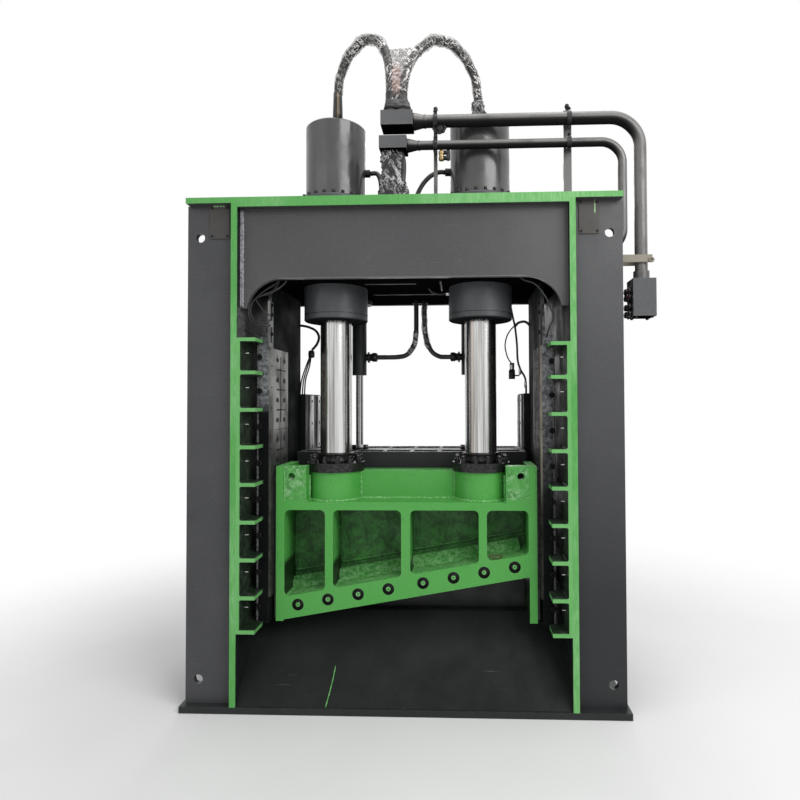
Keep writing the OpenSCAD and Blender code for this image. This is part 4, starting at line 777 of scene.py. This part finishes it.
rows = []
low = BLOCK_TOP + 0.012
for i in range(52):
    z = low + (4.752 - low) * i / 51
    xl, yl = hose_x_at(left_path, z)
    xr, yr = hose_x_at(right_path, z)
    rows.append((z, xl - 0.038, xr + 0.038, (yl + yr) / 2, 0.040))
band("upper_wrap", rows, "web", 3.0)
rows = []
for k in range(9):
    t = k / 8
    rows.append((BLOCK_TOP + 0.001 + 0.056 * t, -0.150 + 0.012 * t + 0.004 * (k % 2), 0.056 - 0.016 * t,
                 PIPE_Y, 0.062 - 0.012 * t))
band("tape_collar", rows, "tape", 8.0)

# Lower bundle between the lower block and the top plate
low_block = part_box("lower_junction_block")[0][2]
rows = []
for i in range(34):
    t = i / 33
    z = TOP + 0.012 + (low_block - TOP - 0.014) * t
    swell = 0.010 * math.sin(t * 9.0) + 0.012 * math.sin(t * 3.4 + 1)
    rows.append((z, -0.166 - swell, 0.004 + swell * 1.4, PIPE_Y, 0.052 + swell * 0.6))
band("lower_wrap", rows, "black_film", 17.0, crease=0.013)
extra = smooth_route([
    (-0.02, PIPE_Y - 0.02, TOP), (-0.005, PIPE_Y - 0.03, TOP + 0.14), (0.0, PIPE_Y - 0.025, TOP + 0.28),
    (-0.02, PIPE_Y, low_block)], 0.012)
piece("bundle_hose", sweep(extra, 0.019, 14), "rubber")


# Supply, drain and clamp hoses with their fittings, on the routes of the CAD source
def nut(centre, radius, length, axis="z"):
    return turned([(radius * 0.9, 0), (radius, length * 0.12), (radius, length * 0.88),
                   (radius * 0.9, length)], 6, centre, axis)


parts = [slab(-0.182, 0.012, PIPE_Y - 0.060, PIPE_Y + 0.060, TOP, TOP + 0.020, 0.010)]
for x in (-0.122, -0.048):
    route = [Vector((x, PIPE_Y, TOP + 0.018 + (low_block - TOP - 0.016) * i / 24)) for i in range(25)]
    parts += [sweep(route, 0.035, 20), nut((x, PIPE_Y, TOP + 0.020), 0.040, 0.030),
              nut((x, PIPE_Y, low_block - 0.030), 0.040, 0.030)]
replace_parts(piece("supply_hose_set", joined(parts), "rubber"), "supply_hoses")

parts = []
for route in ([
        (-0.290, CYL_Y, 3.915), (-0.257, CYL_Y, 3.918), (-0.231, -0.287, 3.905), (-0.209, -0.305, 3.850),
        (-0.198, -0.326, 3.770), (-0.195, -0.342, 3.690), (-0.195, -0.342, 3.615)],
              [(0.290, CYL_Y, 3.915), (0.246, CYL_Y, 3.917), (0.180, -0.291, 3.885), (0.123, -0.311, 3.818),
               (0.085, -0.331, 3.740), (0.070, -0.342, 3.680), (0.070, -0.342, 3.615)]):
    foot = (route[-1][0], route[-1][1], TOP)
    parts += [sweep(smooth_route(route, 0.010), 0.0175, 18),
              turned([(0.0256, 0), (0.0256, 0.008), (0.0225, 0.010), (0.0225, 0.060), (0.020, 0.064)], 24,
                     foot), nut(foot, 0.030, 0.040)]
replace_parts(piece("drain_hose_set", joined(parts), "rubber"), "drain_hoses")

clamp_routes = []
for route in ([(0.022, 2.995), (0.022, 2.854), (0.019, 2.724), (-0.005, 2.618), (-0.062, 2.550),
               (-0.139, 2.532), (-0.247, 2.530), (-0.330, 2.530)],
              [(0.092, 2.995), (0.092, 2.854), (0.099, 2.734), (0.123, 2.635), (0.165, 2.567), (0.223, 2.534),
               (0.274, 2.530), (0.330, 2.530)]):
    clamp_routes.append(smooth_route([(x, CLAMP_HOSE_Y, z) for x, z in route], 0.010))
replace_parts(piece("clamp_hose_set", joined([sweep(route, 0.0205, 18) for route in clamp_routes]), "rubber"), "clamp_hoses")
wound = [p for p in clamp_routes[1] if 2.60 <= p.z <= 2.99]
piece("clamp_film_right", sweep(wound, crinkle(0.0255, 4.0, 0.3, 1.0), 20), "film")
wound = [p for p in clamp_routes[0] if 2.56 <= p.z <= 2.76]
piece("clamp_film_left", sweep(wound, crinkle(0.0235, 6.0, 0.3, 1.0), 20), "film")
parts = [nut((0.318, CLAMP_HOSE_Y, CLAMP_PORT_Z), 0.043, 0.040, "x"), turned(
    [(0.033, 0.040), (0.033, 0.062), (0.047, 0.064), (0.047, 0.078), (0.033, 0.080)], 24,
    (0.318, CLAMP_HOSE_Y, CLAMP_PORT_Z), "x")]
piece("clamp_port_nuts", both(joined(parts)), "bolt")

# Ferrules of the hoses, the bare end of the left main hose, and the wrapped joint of the right one with its
# plug
parts = [turned([(0.044, 4.2895), (0.045, 4.30), (0.042, 4.322), (0.038, 4.324)], 32,
                (side * HOSE_X, CYL_Y, 0)) for side in (-1, 1)]
fitting("hose_ferrules", parts, "plated")
piece("bare_hose_end", turned(
    [(0.0378, 4.322), (0.0382, 4.40), (0.0372, 4.43), (0.0345, 4.50), (0.034, 4.545)], 28,
    (-HOSE_X, CYL_Y, 0)), "bare_hose")
rows = [(4.322 + 0.012 * k, HOSE_X - 0.043 - 0.008 * math.sin(k), HOSE_X + 0.045 + 0.010 * math.sin(k * 1.7),
         CYL_Y, 0.046) for k in range(12)]
band("right_hose_joint", rows, "black_film", 29.0, crease=0.014)
piece("joint_plug", turned(
    [(0.006, 0.0), (0.016, 0.006), (0.019, 0.016), (0.016, 0.026), (0.006, 0.032)], 16,
    (0.583, CYL_Y - 0.02, 4.352), "x"), "rubber")

parts = []
for x in BLOCK_HOSE_X:
    parts.append(turned([(0.045, 0), (0.045, 0.03), (0.038, 0.036), (0.038, 0.12), (0.034, 0.13)], 24,
                        (x, PIPE_Y, BLOCK_TOP)))
fitting("block_ferrules", parts, "bolt")

# Tapered necks where the pipes enter the blocks
parts = []
for x, z, r in ((0.069, UPPER_Z, UPPER_R), (0.025, LOWER_Z, LOWER_R)):
    parts.append(turned(
        [(r + 0.016, 0), (r + 0.015, 0.012), (r + 0.004, 0.060), (r + 0.001, 0.074), (r + 0.001, 0.078),
         (r + 0.004, 0.080), (r + 0.004, 0.092), (r, 0.094)], 36, (x, PIPE_Y, z), "x"))
piece("pipe_necks", joined(parts), "pipe")

# Round clip under the upper pipe and the small brass valve under the lower one
ring = circle((0.258, PIPE_Y - 0.014, 4.118), 0.040, 0.0, 0.034, 40)
parts = [sweep(ring, lambda i, t, p: 0.010 + 0.002 * math.sin(i * 1.3), 12), turned(
    [(0.010, -0.022), (0.024, -0.020), (0.026, 0.0), (0.020, 0.012), (0.008, 0.014)], 20,
    (0.262, PIPE_Y - 0.006, 4.116), "y")]
for k in range(5):
    t = 0.4 + k * 1.25
    parts.append(cap_screw(
        (0.258 + 0.040 * math.cos(t), PIPE_Y - 0.022, 4.118 + 0.034 * math.sin(t)), 0.012, 0.006, "y", -1))
fitting("pipe_clip", parts, "bolt")
piece("drain_valve", turned(
    [(0.012, 3.884), (0.020, 3.890), (0.022, 3.905), (0.018, 3.912), (0.018, 3.930), (0.023, 3.936),
     (0.023, 3.950), (0.014, 3.956), (0.012, 3.970)], 8, (0.272, PIPE_Y, 0)), "brass")
parts = [turned([(0.010, 0.0), (0.016, 0.004), (0.016, 0.040), (0.010, 0.046)], 16, (0.286, PIPE_Y, z), "x")
         for z in (3.945, 3.905)]
parts.append(turned([(0.008, 3.885), (0.014, 3.890), (0.014, 3.955), (0.008, 3.968)], 12, (0.322, PIPE_Y, 0)))
fitting("valve_body", parts, "bolt")

# Bolts of the pipe clamps and the posts' feet
parts = []
for x in POST_X:
    for z, r in ((UPPER_Z, UPPER_R + 0.008), (LOWER_Z, LOWER_R + 0.008)):
        for dz in (-1, 1):
            parts.append(hex_screw((x, PIPE_Y - 0.012, z + dz * (r + 0.010)), 0.014, 0.014 * dz, "z"))
    parts.append(turned([(0.012, 0), (0.012, 0.012)], 6, (x, PIPE_Y + 0.035, TOP)))
fitting("clamp_bolts", parts, "bolt")
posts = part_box("pipe_posts")
parts = []
for x in POST_X:
    parts.append(turned([(0.011, 0), (0.011, 0.026), (0.017, 0.028), (0.015, 0.048), (0.006, 0.056)], 14,
                        (x, posts[0][1] + 0.014, posts[1][2])))
fitting("post_studs", parts, "bolt")

# Cover plates' corner screws
parts = []
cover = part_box("cover_plates")
for side in (-1, 1):
    for x in (1.245, 1.355):
        for z in (cover[0][2] + 0.018, cover[1][2] - 0.018):
            parts.append(cap_screw((side * x, cover[0][1], z), 0.016, 0.006, "y", -1))
fitting("cover_screws", parts, "bolt")


def slot_hole(x, y, z, reach, r, sides=28):
    """A countersunk slot in a plate that faces inwards: a thin rim, a black bed and the screw's socket."""
    verts = []
    rings = (-0.002, 1.0), (0.0004, 1.0), (0.0009, 1.06), (0.0009, 0.93), (0.0002, 0.86), (0.0002, 0.42)
    for out, share in rings:
        for k in range(sides):
            t = 2 * math.pi * k / sides
            hold = (reach - r) if math.cos(t) > 0 else (r - reach)
            hold *= min(1.0, abs(math.cos(t)) * 4) * (1 if share > 0.5 else 0.3)
            verts.append(Vector((x - out, y + hold + r * share * math.cos(t), z + r * share * math.sin(t))))
    return verts, tube_faces(len(rings), sides)


# Wear plate grooves, edge screws and sunk screws, and the bolts of the switch bars
screws = []
for row in range(3):
    z0 = WEAR_TOP - row * WEAR_PITCH - WEAR_H
    screws += [cap_screw((WEAR_X + 0.0005, depth(0.197), z0 + WEAR_H * share), 0.011, 0.004, "x", -1)
               for share in (0.27, 0.52, 0.78)]
    screws += [slot_hole(WEAR_X, depth(d), z0 + WEAR_H * share, 0.030, 0.0165)
               for share in (0.115, 0.365, 0.615, 0.87) for d in (0.3276, 0.4916)]
screws += [hex_screw((WEAR_X - 0.0005, depth(0.19), WEAR_TOP + 0.336 * share), 0.016, 0.010, "x", -1)
           for share in (0.30, 0.72, 0.93)]
piece("wear_plate_screws", both(joined(screws)), "collar")


def strip(x, y0, y1, z0, z1):
    """A thin dark channel line on a wear plate's face."""
    t = 0.0003
    corners = ((y0, z0), (y1, z0), (y1, z1), (y0, z1)), (
        (y0 + t, z0 + t), (y1 - t, z0 + t), (y1 - t, z1 - t), (y0 + t, z1 - t))
    v = [Vector((x - t * i, y, z)) for i in (0, 1) for y, z in corners[i]]
    return v, [(4, 5, 6, 7), (0, 1, 5, 4), (1, 2, 6, 5), (2, 3, 7, 6), (3, 0, 4, 7), (3, 2, 1, 0)]


parts = []
for row in range(3):
    z1 = WEAR_TOP - row * WEAR_PITCH
    z0 = z1 - WEAR_H
    parts.append(strip(WEAR_X, depth(0.396), depth(0.416), z0 + 0.05, z1 - 0.05))
    for share in (0.243, 0.496, 0.747):
        z = z0 + WEAR_H * share
        parts.append(strip(WEAR_X, depth(0.31), depth(0.53), z - 0.0055, z + 0.0055))
for a, b in ((2.575, 2.690), (2.735, 2.850)):
    parts.append(strip(WEAR_X, depth(0.172), depth(0.208), a, b))
piece("grease_channels", both(joined(parts)), "collar")


def upright(x, d, z0, z1, radius, step, seed):
    return weld([(x, depth(d), z0), (x, depth(d), z1)], radius, step, seed)


# Welds of the slide: boss fronts, box foot and lugs
parts = []
for side in (-1, 1):
    arc = [(side * CYL_X + 0.203 * math.cos(t), CYL_Y + 0.203 * math.sin(t), RAIL_Z + 0.003)
           for t in [math.radians(a) for a in range(-171, -8, 9)]]
    parts.append(weld(arc, 0.012, 0.010, seed=side))
    parts.append(upright(side * (CYL_X - 0.1985), 0.438, RAIL_Z, 1.618, 0.012, 0.010, side + 4))
    x = side * 0.726
    parts.append(upright(x, 0.331, RAIL_Z, 1.60, 0.011, 0.010, side + 6))
    parts.append(
        weld([(x, depth(0.24), RAIL_Z + 0.002), (x, depth(0.33), RAIL_Z + 0.002)], 0.007, seed=side + 8))
    parts.append(upright(side * 0.889, 0.2405, 1.42, 1.672, 0.005, 0.008, side + 12))
foot = [(x, depth(0.438), RAIL_Z + 0.002) for x in (-0.357, 0.357)]
parts.append(weld(foot, 0.012, 0.010, seed=30))
piece("slide_welds", joined(parts), "weld_green", "knife_slide")

# Welds inside the slide's windows, along the back plate and up the ribs
parts = []
for x0, x1 in ((-0.889, -0.589), (-0.531, -0.0325), (0.0325, 0.531), (0.589, 0.889)):
    for x, inset in ((x0, 0.004), (x1, -0.004)):
        z = KNIFE_Z + x * KNIFE_SLOPE + 0.30
        parts.append(upright(x + inset, 0.536, z, 1.33, 0.009, 0.012, x * 9))
    top = [(x, depth(0.536), 1.351) for x in (x0 + 0.02, x1 - 0.02)]
    parts.append(weld(top, 0.009, 0.012, seed=x0 * 7))
    sill = [(x, depth(0.535), KNIFE_Z + x * KNIFE_SLOPE + 0.272) for x in (x0 + 0.01, x1 - 0.01)]
    parts.append(weld(sill, 0.010, 0.012, seed=x1 * 5))
piece("window_welds", joined(parts), "slide", "knife_slide")

# Welds, knobs and grease nipples of the ladders, and the light beads beside the crossbeam
parts, knobs, pins = [], [], []
for side, heights in LADDER_Z.items():
    for a, b in zip(heights, heights[1:]):
        parts.append(upright(side * 1.0665, 0.180, a + 0.016, b - 0.016, 0.009, 0.011, a * 13))
        z = a + 0.52 * (b - a)
        knob = [(0.020, 0), (0.020, -0.018), (0.016, -0.022), (0.009, -0.022), (0.009, -0.014)]
        knobs.append(turned(knob, 20, (side * 1.052, depth(0.180), z), "y"))
        pin = [(0.006, 0), (0.006, 0.014), (0.004, 0.018), (0.0045, 0.030), (0.002, 0.033)]
        pin = [(r, -side * h) for r, h in pin]
        pins.append(turned(pin, 12, (side * 1.131, depth(0.09), z + 0.022), "x"))
    for z in heights[1:-1]:
        ends = [(side * x, depth(0.178), z - 0.0145) for x in (1.066, 1.125)]
        parts.append(weld(ends, 0.005, 0.009, seed=z * 7))
piece("ladder_welds", joined(parts), "weld_grey")
fitting("ladder_screws", knobs, "collar")
fitting("grease_nipples", pins, "plated")
parts = [upright(x, 0.062, 2.815, 3.508, 0.0095, 0.009, 50 + x) for x in (-1.148, -1.136)]
piece("crossbeam_welds", joined(parts), "weld_light")

# Bolts of the side block, with caps on two of them, and the bracket's lug
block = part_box("pipe_flange_block")
parts, caps = [], []
for share in (0.08, 0.27, 0.53, 0.70):
    z = block[0][2] + 0.265 * share
    parts += [hex_screw((block[0][0], PIPE_Y + y, z), 0.030, 0.030, "x", -1) for y in (-0.04, 0.04)]
    if share > 0.5:
        caps.append(turned(
            [(0.006, -0.026), (0.006, -0.034), (0.004, -0.036)], 12, (block[0][0], PIPE_Y - 0.046, z), "x"))
for dx in (-0.055, 0.055):
    for dy in (-0.055, 0.055):
        parts.append(cap_screw((1.692 + dx, PIPE_Y + dy, block[0][2]), 0.022, 0.012, "z", -1))
side_bolts = fitting("block_side_bolts", parts, "bolt")
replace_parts(side_bolts, "flange_block_bolts")
fitting("block_caps", caps, "red")
eye = circle((1.744, PIPE_Y - 0.068, 3.132), 0.014, 0.0, 0.014, 24)
piece("bracket_eye", sweep(eye, 0.0065, 10), "bracket")

# Socket-head bolts through a ring on each cylinder's flange, and collars on the rods
flange_bolt = [(0.009, 0.050), (0.009, 0.094), (0.013, 0.095), (0.013, 0.118), (0.011, 0.122),
               (0.007, 0.122), (0.0065, 0.108)]
foot_ring = [(0.2305, 0.0505), (0.283, 0.0505), (0.285, 0.053), (0.285, 0.091), (0.282, 0.094),
             (0.2305, 0.094)]
rod_collar = [(0.1205, 1.6872), (0.136, 1.6872), (0.138, 1.70), (0.132, 1.712), (0.131, 1.742),
              (0.135, 1.746), (0.135, 1.757), (0.1205, 1.762)]
parts, rings, collars = [], [], []
for x in (-CYL_X, CYL_X):
    for t in [2 * math.pi * (k + 0.5) / 24 for k in range(24)]:
        spot = (x + 0.262 * math.cos(t), CYL_Y + 0.262 * math.sin(t), TOP)
        parts.append(turned(flange_bolt, 18, spot))
    rings.append(turned(foot_ring, 72, (x, CYL_Y, TOP), ring=True))
    collars.append(turned(rod_collar, 60, (x, CYL_Y, 0), ring=True))
piece("cylinder_foot_rings", joined(rings), "gland")
piece("rod_collars", joined(collars), "bolt", "knife_slide")
bolts = fitting("flange_bolts", parts, "bolt")
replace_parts(bolts, "cylinder_flange_bolts")

# Blade bolts: a socket head inside a dark collar, with a green tip
parts, tips = [], []
for side in (-1, 1):
    for k in range(4):
        x = side * (0.126 + k * 0.2206)
        c = (x, depth(0.24), KNIFE_Z + x * KNIFE_SLOPE + 0.089)
        parts.append(turned([(0.0425, 0.0002), (0.0425, 0.012), (0.036, 0.012), (0.030, 0.004),
                             (0.027, 0.014), (0.019, 0.014)], 36, c, "y"))
        tips.append(turned(
            [(0.0185, 0.016), (0.0185, 0.003), (0.016, -0.001), (0.006, -0.002), (0.004, 0.001)], 24, c, "y"))
piece("blade_bolt_collars", joined(parts), "collar", "knife_slide")
piece("blade_bolt_tips", joined(tips), "weld_green", "knife_slide")

# A chalky green stroke on the chute and a dark red ring of wire left in the last window
stroke = smooth_route([(x, depth(d), 0.025 + d + 0.0015) for x, d in
                       ((-0.505, 0.215), (-0.510, 0.151), (-0.520, 0.086), (-0.532, 0.020))], 0.02)
piece("chute_stroke", sweep(stroke, lambda i, t, p: 0.0042 + 0.0012 * noise.noise(p * 30), 8), "weld_green")
ring = circle((0.651, depth(0.262), 1.020), 0.046, 0.010, 0.009, 36)
piece("wire_ring", sweep(ring, 0.0035, 8), "dull_red", "knife_slide")


# Cables at the upper left corner of the opening and behind the left rod
def cable(name, radius, d, points, look="rubber"):
    """A cable through (x, z) points at one depth; a third number is a point's own depth."""
    route = [(p[0], depth(p[2] if len(p) > 2 else d), p[1]) for p in points]
    piece(name, sweep(smooth_route(route, 0.012), radius, 10), look)


cable("cable_loop_one", 0.0065, 0.13, [
    (-0.839, 3.024), (-0.861, 2.991), (-0.919, 2.949), (-1.013, 2.914), (-1.079, 2.878), (-1.111, 2.828),
    (-1.118, 2.770), (-1.100, 2.727), (-1.056, 2.701), (-1.005, 2.694), (-0.972, 2.697, 0.145),
    (-0.974, 2.700, 0.165)])
cable("cable_loop_two", 0.0065, 0.14, [
    (-0.886, 3.026), (-0.929, 2.994), (-1.009, 2.944), (-1.075, 2.887), (-1.104, 2.830), (-1.107, 2.779),
    (-1.082, 2.732), (-1.038, 2.713), (-0.994, 2.714), (-0.972, 2.734, 0.150), (-0.974, 2.742, 0.170)])
cable("cable_third", 0.005, 0.14, [
    (-0.894, 3.017), (-0.953, 2.930), (-1.026, 2.909), (-1.066, 2.899), (-1.055, 2.859), (-0.996, 2.786),
    (-0.974, 2.772, 0.152), (-0.975, 2.768, 0.172)])
cable("cable_fourth", 0.007, 0.16, [
    (-1.160, 2.674), (-1.118, 2.651), (-1.074, 2.622, 0.165), (-1.045, 2.604, 0.190)])
cable("cable_right", 0.006, 0.13, [
    (0.822, 3.022), (0.858, 3.000), (0.933, 2.971), (1.003, 2.885), (1.044, 2.793), (1.057, 2.729),
    (1.029, 2.658), (1.018, 2.612, 0.155), (1.020, 2.600, 0.188)])
cable("sensor_cable", 0.011, 0.98, [
    (-1.002, 2.809), (-0.950, 2.804), (-0.897, 2.790), (-0.845, 2.760), (-0.819, 2.708), (-0.836, 2.647),
    (-0.879, 2.595)])
cable("sensor_strand_a", 0.006, 0.98, [
    (-0.885, 2.570), (-0.930, 2.458), (-0.972, 2.330, 0.985), (-0.986, 2.214, 0.99)])
cable("sensor_strand_b", 0.006, 0.98, [
    (-0.885, 2.570), (-0.915, 2.458, 0.975), (-0.952, 2.335), (-0.966, 2.214, 0.99)])
cable("sensor_strand_c", 0.006, 0.97, [
    (-0.885, 2.570, 0.98), (-0.898, 2.457), (-0.932, 2.340), (-0.947, 2.214, 0.99)])
piece("sensor_plug", turned(
    [(0.012, 2.527), (0.026, 2.531), (0.028, 2.561), (0.026, 2.583), (0.014, 2.593)], 12,
    (-0.884, depth(0.98), 0)), "rubber")

# Strips with sunk screws where the clamp beam runs between the rear walls
strips, screws = [], []
for near, far in ((1.115, 1.250), (1.390, 1.497)):
    strips.append(slab(0.930, 0.9405, depth(near), depth(far), 1.000, 2.205, 0.002))
    screws += [cap_screw((0.930, depth((near + far) / 2), 2.156 - 0.2 * k), 0.030, 0.0015, "x", -1)
               for k in range(6)]
piece("rear_wall_strips", both(joined(strips)), "steel")
piece("rear_strip_screws", both(joined(screws)), "collar")

# Flat bars under the crossbeam and the small hose into the right gland
bars = [slab(-0.300, 0.078, depth(0.268), depth(0.280), SOFFIT - 0.006, SOFFIT + 0.002, 0.001),
        slab(-0.300, 0.215, depth(0.684), depth(0.696), SOFFIT - 0.006, SOFFIT + 0.002, 0.001),
        slab(0.255, 0.268, depth(0.198), depth(0.529), SOFFIT - 0.010, SOFFIT + 0.002, 0.001)]
piece("soffit_bars", joined(bars), "charcoal")
cable("gland_hose", 0.008, CYL_Y - FRONT, [
    (0.158, 3.030), (0.171, 3.006), (0.202, 2.980), (0.248, 2.970), (0.294, 2.975), (0.345, 2.975)])
piece("gland_hose_end", turned(
    [(0.011, 0.0), (0.016, 0.003), (0.016, 0.030), (0.011, 0.033)], 6, (0.292, CYL_Y, 2.975), "x"), "plated")

# Switch, plugs and cables in front of the right rear wall
cable("switch_cable", 0.009, 0.98, [
    (0.826, 3.022), (0.831, 2.960), (0.850, 2.860), (0.867, 2.780), (0.882, 2.640), (0.888, 2.500),
    (0.910, 2.420), (0.948, 2.350), (0.958, 2.280, 0.985), (0.960, 2.212, 1.002)])
cable("switch_cable_across", 0.011, 0.98, [
    (0.867, 2.785), (0.895, 2.815), (0.942, 2.826), (0.970, 2.815), (0.990, 2.795, 0.985)])
cable("switch_wire", 0.0055, 0.98, [(0.862, 2.790), (0.822, 2.745), (0.794, 2.690), (0.782, 2.612),
                                    (0.803, 2.520), (0.835, 2.470)], look="dull_red")
piece("switch_plug", joined(
    [slab(0.818, 0.858, depth(0.962), depth(0.998), 2.412, 2.474, 0.006)] + [
        turned([(0.007, z), (0.012, z + 0.006), (0.012, z + 0.052), (0.007, z + 0.060)], 14,
               (x, depth(0.975), 0)) for x, z in ((0.906, 2.372), (0.952, 2.262))]), "plated")
piece("switch_body", joined(
    [slab(0.812, 0.864, depth(0.955), depth(1.002), 2.336, 2.414, 0.008),
     turned([(0.010, -0.003), (0.014, 0.0), (0.014, 0.010)], 20, (0.838, depth(0.945), 2.376), "y"),
     slab(0.858, 0.902, depth(0.972), depth(0.984), 2.360, 2.372, 0.002)]), "rubber")

# Light, floor and camera
world = bpy.data.worlds.new("plain")
bpy.context.scene.world = world
world.use_nodes = True
tree = world.node_tree
back = tree.nodes["Background"]
back.inputs["Color"].default_value = (1, 1, 1, 1)
rays = tree.nodes.new("ShaderNodeLightPath").outputs
seen = rays["Is Camera Ray"]
for other in ("Is Glossy Ray", "Is Transmission Ray"):
    either = tree.nodes.new("ShaderNodeMath")
    either.operation = "MAXIMUM"
    tree.links.new(seen, either.inputs[0])
    tree.links.new(rays[other], either.inputs[1])
    seen = either.outputs[0]
level = tree.nodes.new("ShaderNodeMapRange")
level.inputs[3].default_value = 0.5
level.inputs[4].default_value = 1.0
tree.links.new(seen, level.inputs[0])
tree.links.new(level.outputs[0], back.inputs["Strength"])


def lamp(name, place, target, size, power):
    data = bpy.data.lights.new(name, "AREA")
    data.shape = "RECTANGLE"
    data.size, data.size_y = size
    data.energy = power
    made = bpy.data.objects.new(name, data)
    bpy.context.collection.objects.link(made)
    made.location = place
    made.rotation_euler = (Vector(target) - Vector(place)).to_track_quat("-Z", "Y").to_euler()
    return made


lamp("key", (4.8, -5.4, 6.2), (0.2, -0.4, 2.2), (5, 4), 330)
lamp("fill", (-6.5, -6.0, 5.0), (0, -0.3, 2.0), (6, 5), 50)
lamp("top", (1.0, -1.5, 9.5), (0, -0.4, 2.5), (6, 4), 220)
lamp("rear", (0, 8.5, 6.5), (0, 0.3, 2.0), (6, 4), 260)

floor_mesh = bpy.data.meshes.new("floor")
floor_mesh.from_pydata(
    [(-6, -6, -0.002), (6, -6, -0.002), (6, 6, -0.002), (-6, 6, -0.002)], [], [(0, 1, 2, 3)])
floor = bpy.data.objects.new("floor", floor_mesh)
bpy.context.collection.objects.link(floor)
s = Look("floor", rough=0.9)
away = s.node("ShaderNodeVectorMath", operation="LENGTH")
s.put(away.inputs[0], s.place)
pale = s.mix(s.span(s.vary(0.6, 3), 0.3, 0.7), grey(0.80), grey(0.84))
floor_mesh.materials.append(s.finish(pale, alpha=s.fall(away.outputs["Value"], 2.2, 5.5)))

# The camera: the photograph's width, focal length and centre in pixels, then where it stands and its turn
PHOTO, FOCAL, MID_X, MID_Y = 800, 580, 440.7, 391.5
STAND = (0.417, -4.724, 2.126)
YAW, PITCH, ROLL = 0.0375, 0.0215, -0.0035
eye = bpy.data.cameras.new("camera")
eye.sensor_width = 36
eye.lens = FOCAL / PHOTO * eye.sensor_width
eye.shift_x = (PHOTO / 2 - MID_X) / PHOTO
eye.shift_y = (MID_Y - PHOTO / 2) / PHOTO
eye.clip_end = 200
camera = bpy.data.objects.new("camera", eye)
bpy.context.collection.objects.link(camera)
ahead = Vector((-math.sin(YAW), math.cos(YAW), 0))
across = Vector((math.cos(YAW), math.sin(YAW), 0))
up = Vector((0, 0, 1))
ahead, up = ahead * math.cos(PITCH) + up * math.sin(PITCH), up * math.cos(PITCH) - ahead * math.sin(PITCH)
across, up = across * math.cos(ROLL) + up * math.sin(ROLL), up * math.cos(ROLL) - across * math.sin(ROLL)
turn = Matrix((across, up, -ahead)).transposed().to_4x4()
camera.matrix_world = Matrix.Translation(STAND) @ turn
bpy.context.scene.camera = camera
bpy.context.scene.view_settings.view_transform = "Standard"
